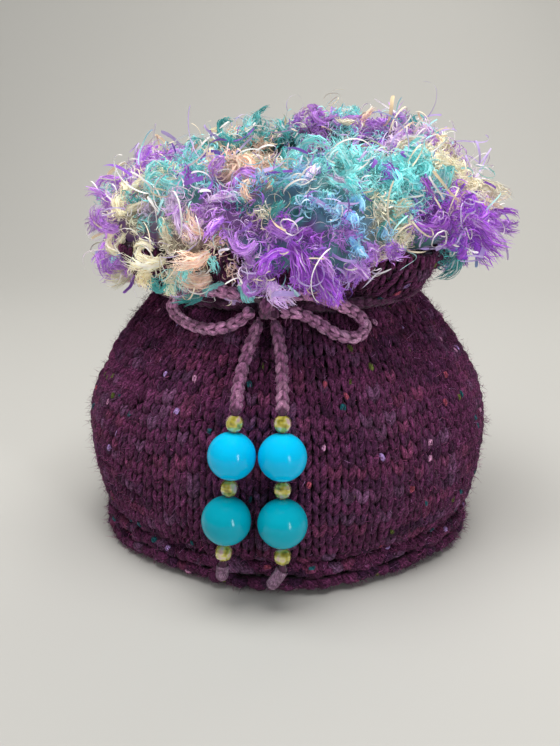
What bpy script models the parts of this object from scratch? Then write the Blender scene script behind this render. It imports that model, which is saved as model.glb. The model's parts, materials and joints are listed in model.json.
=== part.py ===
# A hand-knitted tea cosy: two knitted panels sewn at the sides, a fluffy
# yarn ruffle on the collar, and a drawn cord tied in a bow, with beads on
# its two free ends. Metres, +Z up. The origin is on the surface that the hem
# stands on, in the middle. The front faces -Y, the spout side is -X and the
# handle side is +X.

import math
import random
from collections import namedtuple

import bmesh
import bpy
from mathutils import Vector

MM = 0.001
GAP = 0.3 * MM

# Driving dimensions of the knitted body
WALL = 4.0 * MM
HEM_HEIGHT = 11.0 * MM
HEM_RIDGES = 3
HEM_RIDGE_DEPTH = 1.3 * MM
COLLAR_TOP = 110.0 * MM
NECK_HEIGHT = 96.0 * MM
NECK_PLEATS = 18
COLLAR_WAVES = 11
PANEL_COLUMNS = 34

# A side slit is the stretch of a side seam that is left unsewn.
Slit = namedtuple("Slit", "low high half_width")
SPOUT_SLIT = Slit(40.0 * MM, 84.0 * MM, 14.0 * MM)
HANDLE_SLIT = Slit(28.0 * MM, 86.0 * MM, 11.0 * MM)

# The body's sections above the hem. Pleat is half the depth of the neck's
# gathers, and wave is half the depth of the collar's folds.
Section = namedtuple("Section", "height radius pleat wave")
SECTIONS = [
    Section(0.0, 75.6, 0.0, 0.0),
    Section(5.5, 76.8, 0.0, 0.0),
    Section(11.0, 74.8, 0.0, 0.0),
    Section(14.5, 77.8, 0.0, 0.0),
    Section(22.0, 79.6, 0.0, 0.0),
    Section(34.0, 80.2, 0.0, 0.0),
    Section(48.0, 79.0, 0.0, 0.0),
    Section(60.0, 75.6, 0.0, 0.0),
    Section(70.0, 69.8, 0.3, 0.0),
    Section(79.0, 63.0, 0.9, 0.0),
    Section(86.0, 56.6, 1.7, 0.0),
    Section(91.5, 51.0, 2.6, 0.0),
    Section(96.0, 47.0, 3.0, 0.0),
    Section(99.5, 48.5, 2.4, 1.0),
    Section(104.0, 54.0, 1.2, 3.0),
    Section(110.0, 58.5, 0.6, 4.2),
]
ROWS_ABOVE_HEM = (
    14.5, 20.0, 28.0, 38.0, 48.0, 57.0, 65.0, 72.0, 78.0,
    83.0, 87.5, 91.5, 94.0, 96.0, 98.5, 102.0, 106.0, 110.0,
)
HEM_WOBBLE = 1.2 * MM
HEM_WOBBLES = 6

# The hem is an oval: by this much its sides are nearer to the axis than its front.
Oval = namedtuple("Oval", "height narrower")
OVALS = [Oval(0.0, 4.2), Oval(11.0, 4.2), Oval(24.0, 2.6), Oval(40.0, 0.6), Oval(58.0, 0.0)]

# The collar bulges out over the drawn cord in one place, to the right of the bow.
Lobe = namedtuple("Lobe", "middle spread reach low full")
COLLAR_LOBE = Lobe(math.radians(47), math.radians(16), 7.0 * MM, 97.7 * MM, 100.6 * MM)

# The ruffle: a lumpy ring that sits on the collar, with locks of yarn.
RUFFLE_RADIUS = 55.0 * MM
RUFFLE_SHIFT = 3.0 * MM
RUFFLE_HALF_WIDTH = 16.0 * MM
RUFFLE_HALF_HEIGHT = 17.5 * MM
RUFFLE_MIDDLE = 127.5 * MM
RUFFLE_BACK_RISE = 5.0 * MM
RUFFLE_COLUMNS = 72
RUFFLE_SIDES = 12
RUFFLE_REACH = 82.0 * MM
LOCK_SHARE = 0.54
LOCK_TAPER = (0.86, 0.8, 0.45)

# The cord and the beads
CORD_RADIUS = 2.2 * MM
CORE_RADIUS = 0.95 * MM
BORE_RADIUS = CORE_RADIUS + 0.4 * MM
KNOT = Vector((-7.6 * MM, -56.7 * MM, 97.5 * MM))
KNOT_RADIUS = 5.0 * MM
BLUE_RADIUS = 8.0 * MM
TEAL_RADIUS = 8.3 * MM
GOLD_RADIUS = 3.0 * MM


def material(name, colour, roughness):
    made = bpy.data.materials.new(name)
    made.use_nodes = True
    shader = made.node_tree.nodes["Principled BSDF"]
    shader.inputs["Base Color"].default_value = (*colour, 1.0)
    shader.inputs["Roughness"].default_value = roughness
    shader.inputs["Metallic"].default_value = 0.0
    return made


def add_object(name, data, finish):
    data.materials.append(finish)
    made = bpy.data.objects.new(name, data)
    bpy.context.scene.collection.objects.link(made)
    return made


def mesh_from(name, points, faces):
    data = bpy.data.meshes.new(name)
    data.from_pydata(points, [], faces)
    data.validate()
    return data


def smooth_step(share):
    share = min(1.0, max(0.0, share))
    return share * share * (3.0 - 2.0 * share)


def hermite(table, at, column):
    """The value of a column at a height, on a smooth curve through the table's rows."""
    at = min(max(at, table[0].height), table[-1].height)
    i = next(k for k in range(len(table) - 1) if at <= table[k + 1].height)

    def slope(k):
        low, high = table[max(k - 1, 0)], table[min(k + 1, len(table) - 1)]
        return (getattr(high, column) - getattr(low, column)) / (high.height - low.height)

    a, b = table[i], table[i + 1]
    span = b.height - a.height
    t = (at - a.height) / span
    return (
        (2 * t**3 - 3 * t**2 + 1) * getattr(a, column)
        + (t**3 - 2 * t**2 + t) * span * slope(i)
        + (-2 * t**3 + 3 * t**2) * getattr(b, column)
        + (t**3 - t**2) * span * slope(i + 1)
    )


def body_radius(height):
    """The mean outside radius of the knitted body at a height, in metres."""
    return hermite(SECTIONS, height / MM, "radius") * MM


def collar_bulge(angle, height):
    """How far the collar's one lobe stands out at an angle and a height."""
    lobe = COLLAR_LOBE
    apart = math.remainder(angle - lobe.middle, 2 * math.pi) / lobe.spread
    rise = smooth_step((height - lobe.low) / (lobe.full - lobe.low))
    return lobe.reach * rise * math.exp(-(apart**2))


def fold(angle, height):
    """How far the gathers, the folds, the hem's wobble and its oval move the wall outwards."""
    pleat = hermite(SECTIONS, height / MM, "pleat") * MM
    wave = hermite(SECTIONS, height / MM, "wave") * MM
    gathers = math.cos(NECK_PLEATS * angle + 0.5 * math.sin(2 * angle))
    folds = math.sin(COLLAR_WAVES * angle + 0.8 * math.sin(3 * angle))
    wobble = HEM_WOBBLE * (1.0 - smooth_step(height / (3 * HEM_HEIGHT)))
    wobble *= math.cos(HEM_WOBBLES * angle)
    oval = hermite(OVALS, height / MM, "narrower") * MM * math.sin(angle) ** 2
    return pleat * gathers + wave * folds + wobble - oval + collar_bulge(angle, height)


def hem_ridge(height):
    """The garter ridges that run round the hem."""
    if height >= HEM_HEIGHT:
        return 0.0
    return HEM_RIDGE_DEPTH * abs(math.sin(math.pi * HEM_RIDGES * height / HEM_HEIGHT))


def slit_half_gap(slit, height):
    """Half the width between the two panels' edges at a height."""
    if not slit.low < height < slit.high:
        return GAP / 2
    share = (height - slit.low) / (slit.high - slit.low)
    return max(GAP / 2, slit.half_width * math.sin(math.pi * share) ** 0.75)


def wall_normal(height):
    """The outward normal of the profile, as (radial, up), level at the rims."""
    step = 0.5 * MM
    low, high = max(0.0, height - step), min(COLLAR_TOP, height + step)
    rise, run = high - low, body_radius(high) - body_radius(low)
    length = math.hypot(rise, run)
    radial, up = rise / length, -run / length
    ease = smooth_step(height / HEM_HEIGHT) * smooth_step((COLLAR_TOP - height) / (8 * MM))
    return Vector((radial * ease + (1 - ease), up * ease)).normalized()


def wall_points(angle, height):
    """The outside and inside points of the knitted wall."""
    outward = Vector((math.sin(angle), -math.cos(angle), 0.0))
    normal = wall_normal(height)
    radius = body_radius(height) + fold(angle, height)
    outside = outward * (radius + hem_ridge(height)) + Vector((0, 0, height))
    inside = outward * (radius - WALL * normal.x)
    inside.z = height - WALL * normal.y
    return outside, inside


def row_heights():
    """The heights of the mesh rows: two for each hem ridge, then the listed ones."""
    hem = [HEM_HEIGHT * k / (2 * HEM_RIDGES) for k in range(2 * HEM_RIDGES + 1)]
    return hem + [height * MM for height in ROWS_ABOVE_HEM]


def knitted_panel(name, middle, finish):
    """One knitted half, from one side seam to the other, centred on the middle angle."""
    heights = row_heights()
    points = []
    for height in heights:
        radius = body_radius(height)
        edges = []
        for side in (-1, 1):
            toward_handle = math.sin(middle + side * math.pi / 2) > 0
            slit = HANDLE_SLIT if toward_handle else SPOUT_SLIT
            gap = slit_half_gap(slit, height)
            edges.append(middle + side * (math.pi / 2 - math.asin(gap / (radius - WALL))))
        for column in range(PANEL_COLUMNS + 1):
            share = column / PANEL_COLUMNS
            angle = edges[0] + share * (edges[1] - edges[0])
            points.extend(wall_points(angle, height))
    wide = PANEL_COLUMNS + 1

    def index(row, column, inside):
        return 2 * (row * wide + column) + inside

    faces = []
    last_row, last_column = len(heights) - 1, PANEL_COLUMNS
    for row in range(last_row):
        for column in range(last_column):
            corners = [(row, column), (row, column + 1), (row + 1, column + 1), (row + 1, column)]
            faces.append([index(*corner, 0) for corner in corners])
            faces.append([index(*corner, 1) for corner in reversed(corners)])
    for column in range(last_column):
        for row, turn in ((0, 1), (last_row, -1)):
            rim = [(column, 0), (column, 1), (column + 1, 1), (column + 1, 0)]
            faces.append([index(row, at, inside) for at, inside in rim[::turn]])
    for row in range(last_row):
        for column, turn in ((0, 1), (last_column, -1)):
            rim = [(row, 0), (row + 1, 0), (row + 1, 1), (row, 1)]
            faces.append([index(at, column, inside) for at, inside in rim[::turn]])
    data = mesh_from(name, points, faces)
    data.shade_smooth()
    data.set_sharp_from_angle(angle=math.radians(60))
    return add_object(name, data, finish)


def ruffle_point(angle, side, lumps):
    """A point on the ruffle's ring: flat where it sits on the collar, lumpy elsewhere."""
    around = 2 * math.pi * side / RUFFLE_SIDES
    outward = Vector((math.sin(angle), -math.cos(angle), 0.0))
    out, up = math.cos(around), math.sin(around)
    swell = lumps[side % RUFFLE_SIDES] * MM * max(0.0, 0.4 + 0.6 * up + 0.4 * out)
    radius = RUFFLE_RADIUS + (RUFFLE_HALF_WIDTH + swell) * out + 2.0 * MM * math.sin(5 * angle + 1)
    tall = RUFFLE_HALF_HEIGHT + swell + 1.5 * MM * math.sin(7 * angle)
    if up > 0:
        tall += RUFFLE_BACK_RISE * (0.5 - 0.5 * math.cos(angle))
    height = max(RUFFLE_MIDDLE + tall * up, COLLAR_TOP + GAP)
    return outward * radius + Vector((RUFFLE_SHIFT, 0, height))


def grow_lock(bm, face, rng):
    """Draws one face of the ring out into a tapering, curling lock of yarn."""
    centre = face.calc_center_median()
    outward = Vector((centre.x, centre.y, 0.0)).normalized()
    aside = Vector((-outward.y, outward.x, 0.0))
    out_share = (math.hypot(centre.x - RUFFLE_SHIFT, centre.y) - RUFFLE_RADIUS) / RUFFLE_HALF_WIDTH
    inner = out_share < -0.3
    length = (rng.uniform(5, 8) if inner else rng.uniform(11, 18)) * MM
    droop = 0.5 * max(0.0, out_share) * rng.random()
    way = face.normal + aside * rng.uniform(-0.45, 0.45) - Vector((0, 0, droop))
    way.normalize()
    curl = (aside * rng.uniform(-0.5, 0.5) + Vector((0, 0, rng.uniform(-0.4, 0.3)))) * 0.6
    bmesh.ops.inset_individual(bm, faces=[face], thickness=0.7 * MM)
    for segment, taper in enumerate(LOCK_TAPER):
        face = bmesh.ops.extrude_discrete_faces(bm, faces=[face])["faces"][0]
        step = (way + curl * segment / len(LOCK_TAPER)).normalized() * length / len(LOCK_TAPER)
        middle = face.calc_center_median()
        for vert in face.verts:
            vert.co = middle + (vert.co - middle) * taper + step
            reach = math.hypot(vert.co.x, vert.co.y)
            if reach > RUFFLE_REACH:
                vert.co.x *= RUFFLE_REACH / reach
                vert.co.y *= RUFFLE_REACH / reach


def ruffle(finish):
    """The ruffle, one closed solid: a ring, and locks that are drawn out of its faces."""
    rng = random.Random(11)
    bm = bmesh.new()
    rings = []
    for column in range(RUFFLE_COLUMNS):
        lumps = [rng.uniform(-1.5, 2.0) for _ in range(RUFFLE_SIDES)]
        angle = 2 * math.pi * column / RUFFLE_COLUMNS
        rings.append([bm.verts.new(ruffle_point(angle, k, lumps)) for k in range(RUFFLE_SIDES)])
    faces = {}
    for column in range(RUFFLE_COLUMNS):
        near, far = rings[column], rings[(column + 1) % RUFFLE_COLUMNS]
        for side in range(RUFFLE_SIDES):
            after = (side + 1) % RUFFLE_SIDES
            faces[column, side] = bm.faces.new((near[side], far[side], far[after], near[after]))
    bm.normal_update()
    bmesh.ops.recalc_face_normals(bm, faces=bm.faces)
    bm.normal_update()
    seated = {8, 9}
    quarter = RUFFLE_COLUMNS // 4
    grown = [(column, 0) for column in range(0, RUFFLE_COLUMNS, quarter)]
    for column, side in sorted(faces):
        neighbours = {(column - 1, side), (column, side - 1), (column - 1, side - 1)}
        if side in seated or neighbours & set(grown) or (column, side) in grown:
            continue
        if rng.random() < LOCK_SHARE:
            grown.append((column, side))
    for key in grown:
        grow_lock(bm, faces[key], rng)
    data = bpy.data.meshes.new("ruffle")
    bm.to_mesh(data)
    bm.free()
    print("ruffle locks:", len(grown))
    return add_object("ruffle", data, finish)


def smooth_route(points, spacing):
    """Points spaced evenly along a Catmull-Rom curve through a route's own points."""
    fine = []
    for i in range(len(points) - 1):
        before, a = points[max(i - 1, 0)], points[i]
        b, after = points[i + 1], points[min(i + 2, len(points) - 1)]
        for k in range(20):
            t = k / 20
            fine.append(
                0.5
                * (
                    2 * a
                    + (b - before) * t
                    + (2 * before - 5 * a + 4 * b - after) * t * t
                    + (3 * a - before - 3 * b + after) * t**3
                )
            )
    fine.append(points[-1])
    steps = [0.0]
    for a, b in zip(fine, fine[1:]):
        steps.append(steps[-1] + (b - a).length)
    count = max(2, round(steps[-1] / spacing))
    route, k = [], 0
    for n in range(count + 1):
        at = steps[-1] * n / count
        while k < len(steps) - 2 and steps[k + 1] < at:
            k += 1
        share = (at - steps[k]) / (steps[k + 1] - steps[k])
        route.append(fine[k].lerp(fine[k + 1], share))
    return route


def cord(name, route, thickness, finish):
    """A round cord along a route. Thickness is its radius at each point of the route."""
    curve = bpy.data.curves.new(name, "CURVE")
    curve.dimensions = "3D"
    curve.bevel_depth = CORD_RADIUS
    curve.bevel_resolution = 2
    curve.use_fill_caps = True
    spline = curve.splines.new("POLY")
    spline.points.add(len(route) - 1)
    for point, place, radius in zip(spline.points, route, thickness):
        point.co = (*place, 1.0)
        point.radius = radius / CORD_RADIUS
    return add_object(name, curve, finish)


def clear_of_wall(height, distance):
    """The least radius at which a point at this height stays a distance off the gathers."""
    reach = 0.0
    for k in range(-8, 9):
        rise = distance * k / 8
        level = height + rise
        folds = hermite(SECTIONS, level / MM, "pleat") + hermite(SECTIONS, level / MM, "wave")
        reach = max(reach, body_radius(level) + folds * MM + math.sqrt(distance**2 - rise**2))
    return reach


def neck_cord(finish):
    """The part of the cord that is drawn round the neck, open where the knot is."""
    radius = clear_of_wall(NECK_HEIGHT, CORD_RADIUS + GAP)
    print("drawn cord's radius, mm:", round(radius / MM, 2))
    knot_angle = math.atan2(KNOT.x, -KNOT.y)
    clear = (KNOT_RADIUS + GAP) / radius
    steps = 50
    route = []
    for k in range(steps + 1):
        angle = knot_angle + clear + (2 * math.pi - 2 * clear) * k / steps
        height = NECK_HEIGHT
        route.append(Vector((radius * math.sin(angle), -radius * math.cos(angle), height)))
    return cord("drawstring", route, [CORD_RADIUS] * len(route), finish)


# A place of the cord on the body: across, height, and how far it stands off.
Lay = namedtuple("Lay", "across height off")
LOOP_LEFT = [
    Lay(-13.0, 99.6, 0.6), Lay(-20.0, 102.2, 1.6), Lay(-29.0, 102.4, 1.2), Lay(-37.5, 99.2, 1.0),
    Lay(-42.0, 93.8, 1.0), Lay(-37.5, 89.8, 1.0), Lay(-28.0, 88.4, 1.0), Lay(-19.0, 90.6, 0.6),
    Lay(-13.0, 95.4, 0.6),
]
LOOP_RIGHT = [
    Lay(-2.2, 99.6, 0.6), Lay(3.5, 102.2, 1.4), Lay(10.0, 100.9, 1.0), Lay(17.5, 97.4, 1.0),
    Lay(24.0, 93.4, 1.0), Lay(26.8, 89.4, 1.0), Lay(23.2, 86.4, 1.0), Lay(16.0, 88.0, 1.0),
    Lay(9.4, 91.8, 1.0), Lay(3.6, 94.8, 0.6), Lay(-2.2, 95.4, 0.6),
]


def lay_cord(lay):
    """The point where a cord that lies on the front of the body has its middle."""
    height = lay.height * MM
    radius = clear_of_wall(height, CORD_RADIUS + GAP)
    drawn = clear_of_wall(NECK_HEIGHT, CORD_RADIUS + GAP)
    apart, rise = 2 * CORD_RADIUS + GAP, abs(height - NECK_HEIGHT)
    if rise < apart:
        radius = max(radius, drawn + math.sqrt(apart**2 - rise**2))
    radius += lay.off * MM
    across = lay.across * MM
    return Vector((across, -math.sqrt(radius**2 - across**2), height))


def bow_loop(name, places, finish):
    route = smooth_route([lay_cord(place) for place in places], 4.6 * MM)
    return cord(name, route, [CORD_RADIUS] * len(route), finish)


def bow_knot(finish):
    """The knot of the bow: a round lump, wider than it is tall."""
    bm = bmesh.new()
    bmesh.ops.create_icosphere(bm, subdivisions=2, radius=1.0)
    for vert in bm.verts:
        ridge = 1.0 + 0.08 * math.cos(3 * math.atan2(vert.co.z, vert.co.x) + 2 * vert.co.y)
        vert.co *= 0.9 * ridge * KNOT_RADIUS
    data = bpy.data.meshes.new("bow_knot")
    bm.to_mesh(data)
    bm.free()
    data.shade_smooth()
    made = add_object("bow_knot", data, finish)
    made.location = KNOT
    return made


def bead_half_height(radius):
    """From a bead's middle to the flat mouth of its bore."""
    return math.sqrt(radius**2 - BORE_RADIUS**2)


# The beads of each string, from the top down.
Bead = namedtuple("Bead", "kind radius sides rings")
STRING = [
    Bead("gold_top", GOLD_RADIUS, 8, 4),
    Bead("blue", BLUE_RADIUS, 14, 8),
    Bead("gold_middle", GOLD_RADIUS, 8, 4),
    Bead("teal", TEAL_RADIUS, 14, 8),
    Bead("gold_low", GOLD_RADIUS, 8, 4),
]
# Where each string hangs: its top bead's and its lowest bead's place across and out
# from the axis, and the height of the top bead.
Hang = namedtuple("Hang", "side top_x low_x top_y low_y top")
STRINGS = [
    Hang("left", -17.7 * MM, -21.7 * MM, -84.4 * MM, -88.0 * MM, 64.6 * MM),
    Hang("right", -2.2 * MM, -2.2 * MM, -85.4 * MM, -91.2 * MM, 64.8 * MM),
]
# Each tail's own places on the body above its beads, and its tip's points below them.
TAIL_TOP = {
    "left": [Lay(-10.4, 91.5, 0.8), Lay(-11.8, 88.2, 1.4), Lay(-14.2, 82.4, 3.0), Lay(-16.4, 75.4, 6.0)],
    "right": [Lay(-4.8, 91.5, 0.8), Lay(-3.8, 88.2, 1.4), Lay(-2.6, 82.4, 3.0), Lay(-2.2, 75.4, 6.0)],
}
TAIL_END = {
    "left": [(-22.0, -88.2, 14.6)],
    "right": [(-3.8, -91.5, 13.4), (-6.6, -91.6, 9.6)],
}


def bead_centres(hang):
    """The middles of a string's beads, each resting on the one below with a small gap."""
    heights, height = [], hang.top
    for k, bead in enumerate(STRING):
        if k:
            height -= bead_half_height(STRING[k - 1].radius) + GAP + bead_half_height(bead.radius)
        heights.append(height)
    high = Vector((hang.top_x, hang.top_y, heights[0]))
    low = Vector((hang.low_x, hang.low_y, heights[-1]))
    return [high.lerp(low, (high.z - height) / (high.z - low.z)) for height in heights]


def string_axis(hang):
    """The direction of a bead string's bores, upwards."""
    centres = bead_centres(hang)
    return (centres[0] - centres[-1]).normalized()


def bead(name, kind, centre, axis, finish):
    """A round bead with a bore: its profile, turned round the bore's axis."""
    start = math.asin(BORE_RADIUS / kind.radius)
    arc = [start + (math.pi - 2 * start) * k / kind.rings for k in range(kind.rings + 1)]
    profile = [(kind.radius * math.sin(a), kind.radius * math.cos(a)) for a in arc]
    points = []
    for k in range(kind.sides):
        turn = 2 * math.pi * k / kind.sides
        points += [(r * math.cos(turn), r * math.sin(turn), z) for r, z in profile]
    count = len(profile)
    faces = []
    for k in range(kind.sides):
        here, there = k * count, (k + 1) % kind.sides * count
        for j in range(count):
            after = (j + 1) % count
            faces.append((here + j, here + after, there + after, there + j))
    data = mesh_from(name, points, faces)
    if kind.radius > GOLD_RADIUS:
        data.shade_smooth()
        data.set_sharp_from_angle(angle=math.radians(50))
    made = add_object(name, data, finish)
    made.location = centre
    made.rotation_euler = Vector((0, 0, 1)).rotation_difference(axis).to_euler()
    return made


def tail(hang, finish):
    """A free end of the cord: down to the beads, thin through their bores, then its tip."""
    centres, axis = bead_centres(hang), string_axis(hang)
    above = centres[0] + axis * (bead_half_height(GOLD_RADIUS) + GAP)
    below = centres[-1] - axis * (bead_half_height(GOLD_RADIUS) + GAP)
    places = [lay_cord(place) for place in TAIL_TOP[hang.side]]
    top = smooth_route(places + [above + axis * 2 * MM], 4.6 * MM)
    taper = [above + axis * 0.6 * MM, above]
    count = 9
    inside = [above.lerp(below, k / count) for k in range(1, count)]
    tip = [below, below - axis * 0.6 * MM]
    points = [Vector(point) * MM for point in TAIL_END[hang.side]]
    end = smooth_route([below - axis * 2.5 * MM] + points, 4.0 * MM)
    route = top + taper + inside + tip + end
    thickness = [CORD_RADIUS] * len(top) + [CORD_RADIUS * 0.8, CORE_RADIUS]
    thickness += [CORE_RADIUS] * (len(inside) + 1) + [CORD_RADIUS * 0.8]
    thickness += [CORD_RADIUS * 0.9] * len(end)
    return cord("tail_" + hang.side, route, thickness, finish)


def clear_scene():
    for existing in list(bpy.data.objects):
        bpy.data.objects.remove(existing, do_unlink=True)


def main():
    clear_scene()
    knit = material("plum_knit", (0.075, 0.016, 0.05), 0.95)
    fluff = material("ruffle_yarn", (0.36, 0.22, 0.62), 0.8)
    drawn = material("cord_yarn", (0.16, 0.05, 0.12), 0.9)
    finishes = {
        "gold": material("gold_bead", (0.75, 0.66, 0.12), 0.2),
        "blue": material("blue_bead", (0.0, 0.45, 0.85), 0.15),
        "teal": material("teal_bead", (0.0, 0.36, 0.42), 0.15),
    }
    knitted_panel("front_panel", 0.0, knit)
    knitted_panel("back_panel", math.pi, knit)
    ruffle(fluff)
    neck_cord(drawn)
    bow_knot(drawn)
    bow_loop("bow_loop_left", LOOP_LEFT, drawn)
    bow_loop("bow_loop_right", LOOP_RIGHT, drawn)
    for hang in STRINGS:
        tail(hang, drawn)
        axis = string_axis(hang)
        for kind, centre in zip(STRING, bead_centres(hang)):
            name = f"bead_{kind.kind}_{hang.side}"
            bead(name, kind, centre, axis, finishes[kind.kind.split("_")[0]])


main()
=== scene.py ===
# %% [markdown]
# # A hand-knitted tea cosy
# The cosy is two knitted panels sewn at the sides, a ruffle of fancy yarn on
# the collar, and a knitted cord that draws the neck in and is tied in a bow,
# with beads on its free ends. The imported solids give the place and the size
# of every piece. Here each one gets its real surface: stitches of yarn, locks
# of shaggy yarn, and polished beads.

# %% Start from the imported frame
import json
import math
from collections import namedtuple

import bmesh
import bpy
import numpy as np
from mathutils import Matrix, Vector

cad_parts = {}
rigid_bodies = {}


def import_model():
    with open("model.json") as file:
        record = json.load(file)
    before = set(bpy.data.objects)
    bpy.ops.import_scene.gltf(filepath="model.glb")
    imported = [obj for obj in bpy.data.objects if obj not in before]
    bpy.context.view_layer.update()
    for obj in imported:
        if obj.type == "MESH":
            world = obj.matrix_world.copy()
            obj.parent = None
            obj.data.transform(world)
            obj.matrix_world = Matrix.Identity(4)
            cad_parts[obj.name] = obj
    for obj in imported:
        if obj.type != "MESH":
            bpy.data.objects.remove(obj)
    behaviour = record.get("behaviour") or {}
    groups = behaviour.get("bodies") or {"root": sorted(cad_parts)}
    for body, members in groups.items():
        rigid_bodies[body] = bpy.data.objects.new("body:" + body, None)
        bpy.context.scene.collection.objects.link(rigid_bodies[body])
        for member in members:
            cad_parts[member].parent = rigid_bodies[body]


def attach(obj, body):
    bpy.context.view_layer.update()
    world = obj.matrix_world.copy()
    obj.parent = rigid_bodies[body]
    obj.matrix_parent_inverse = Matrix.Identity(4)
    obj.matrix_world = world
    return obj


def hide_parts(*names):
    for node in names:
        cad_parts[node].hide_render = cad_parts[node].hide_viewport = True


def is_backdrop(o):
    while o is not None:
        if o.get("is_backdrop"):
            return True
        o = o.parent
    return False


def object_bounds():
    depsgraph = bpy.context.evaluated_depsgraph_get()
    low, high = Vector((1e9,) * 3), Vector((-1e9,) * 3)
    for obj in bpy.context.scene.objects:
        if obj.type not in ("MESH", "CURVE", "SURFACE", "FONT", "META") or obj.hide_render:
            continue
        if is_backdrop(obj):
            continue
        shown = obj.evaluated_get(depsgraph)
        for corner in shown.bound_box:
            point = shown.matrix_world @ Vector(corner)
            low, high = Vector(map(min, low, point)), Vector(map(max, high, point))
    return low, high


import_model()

MM = 0.001
rng = np.random.default_rng(7)
cad_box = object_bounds()
size = (cad_box[1] - cad_box[0]) / MM
print(f"The solids measure {size.x:.0f} x {size.y:.0f} x {size.z:.0f} mm")

# %% [markdown]
# ## The camera, the light and the floor
# The camera stands close, a little above the cosy, and looks down at it. Its
# place comes from the shape of the hem and the distance between the beads in
# the picture. The light is a large soft window from above, with weaker ones at
# the front right, at the left and behind, so that the dark yarn keeps its
# relief. Only the one at the front right shows in the beads.

# %% Camera
FRAME_LONG_SIDE = 746
FOCAL_PIXELS = 900

camera = bpy.data.cameras.new("camera")
camera.sensor_width = 36.0
camera.lens = 36.0 * FOCAL_PIXELS / FRAME_LONG_SIDE
camera_object = bpy.data.objects.new("camera", camera)
camera_object.location = (-0.003, -0.358, 0.161)
camera_object.rotation_euler = (math.radians(90 - 16.2), 0, 0)
bpy.context.scene.collection.objects.link(camera_object)
bpy.context.scene.camera = camera_object
print(f"The lens is {camera.lens:.1f} mm")

# %% Soft studio light
Lamp = namedtuple("Lamp", "name place width height watts colour mirrored")
LAMPS = [
    Lamp("window_above", (-0.04, -0.16, 1.05), 0.8, 0.7, 11.5, (1.0, 0.985, 0.96), False),
    Lamp("window_front", (0.50, -0.86, 0.20), 0.12, 0.5, 2.4, (0.97, 0.98, 1.0), True),
    Lamp("window_left", (-0.9, -0.55, 0.6), 0.4, 0.5, 1.3, (1.0, 0.99, 0.97), False),
    Lamp("window_back", (0.35, 0.75, 0.75), 0.7, 0.5, 3.0, (1.0, 0.97, 0.92), False),
]


def add_lamp(lamp):
    """A soft rectangular lamp that faces the cosy."""
    light = bpy.data.lights.new(lamp.name, "AREA")
    light.shape = "RECTANGLE"
    light.size, light.size_y = lamp.width, lamp.height
    light.energy, light.color = lamp.watts, lamp.colour
    made = bpy.data.objects.new(lamp.name, light)
    made.location = lamp.place
    made.visible_glossy = lamp.mirrored
    aim = Vector((0, 0, 0.08)) - made.location
    made.rotation_euler = aim.to_track_quat("-Z", "Y").to_euler()
    bpy.context.scene.collection.objects.link(made)


for lamp in LAMPS:
    add_lamp(lamp)

world = bpy.data.worlds.new("studio")
bpy.context.scene.world = world
world.use_nodes = True
world.node_tree.nodes["Background"].inputs["Color"].default_value = (0.86, 0.85, 0.83, 1)
world.node_tree.nodes["Background"].inputs["Strength"].default_value = 0.19
bpy.context.scene.view_settings.view_transform = "Standard"
print("Lamps:", len(LAMPS))

# %% [markdown]
# ## Helpers for modelling
# Operators act on whatever is selected, so each piece starts from a clean
# selection. A finished piece sits at the origin with its place in its mesh.

# %% Selection, finishing and joining
def deselect():
    for other in bpy.context.view_layer.objects:
        other.select_set(False)


def only(piece):
    """Selects one object and makes it the active one."""
    deselect()
    piece.select_set(True)
    bpy.context.view_layer.objects.active = piece


def settle(piece):
    """Moves a piece's place into its mesh."""
    only(piece)
    bpy.ops.object.transform_apply(location=True, rotation=True, scale=True)


def pick(piece, element, test):
    """Selects the faces, edges or vertices of the piece in edit mode that pass a test."""
    bpy.ops.mesh.select_mode(type=element)
    bpy.ops.mesh.select_all(action="DESELECT")
    mesh = bmesh.from_edit_mesh(piece.data)
    groups = {"VERT": mesh.verts, "EDGE": mesh.edges, "FACE": mesh.faces}
    for item in groups[element]:
        item.select_set(bool(test(item)))
    bmesh.update_edit_mesh(piece.data)


def mesh_piece(name, points, quads, uv, tone):
    """A mesh object from arrays: points, four-sided faces, a UV pair a corner, a colour a point."""
    data = bpy.data.meshes.new(name)
    count = len(quads)
    data.vertices.add(len(points))
    data.vertices.foreach_set("co", np.asarray(points, np.float32).ravel())
    data.loops.add(count * 4)
    data.loops.foreach_set("vertex_index", np.asarray(quads, np.int32).ravel())
    data.polygons.add(count)
    data.polygons.foreach_set("loop_start", np.arange(count, dtype=np.int32) * 4)
    layer = data.uv_layers.new(name="yarn")
    layer.data.foreach_set("uv", np.asarray(uv, np.float32).ravel())
    colours = np.ones((len(points), 4), np.float32)
    colours[:, :3] = tone
    layer = data.color_attributes.new("tone", "FLOAT_COLOR", "POINT")
    layer.data.foreach_set("color", colours.ravel())
    data.update(calc_edges=True)
    data.polygons.foreach_set("use_smooth", np.ones(count, bool))
    made = bpy.data.objects.new(name, data)
    bpy.context.scene.collection.objects.link(made)
    return made


def dress(piece, finish):
    """Gives a piece its finish and its place on the body."""
    piece.data.materials.clear()
    piece.data.materials.append(finish)
    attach(piece, "root")


# %% [markdown]
# ## The body's shape
# The panels follow one smooth profile, turned round the axis. The table gives
# its height and radius, the depth of the gathers at the neck and of the folds
# in the collar. A stitch is placed by its angle and by its distance up the
# profile, because knitting keeps its row height where the cloth slopes.

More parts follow.
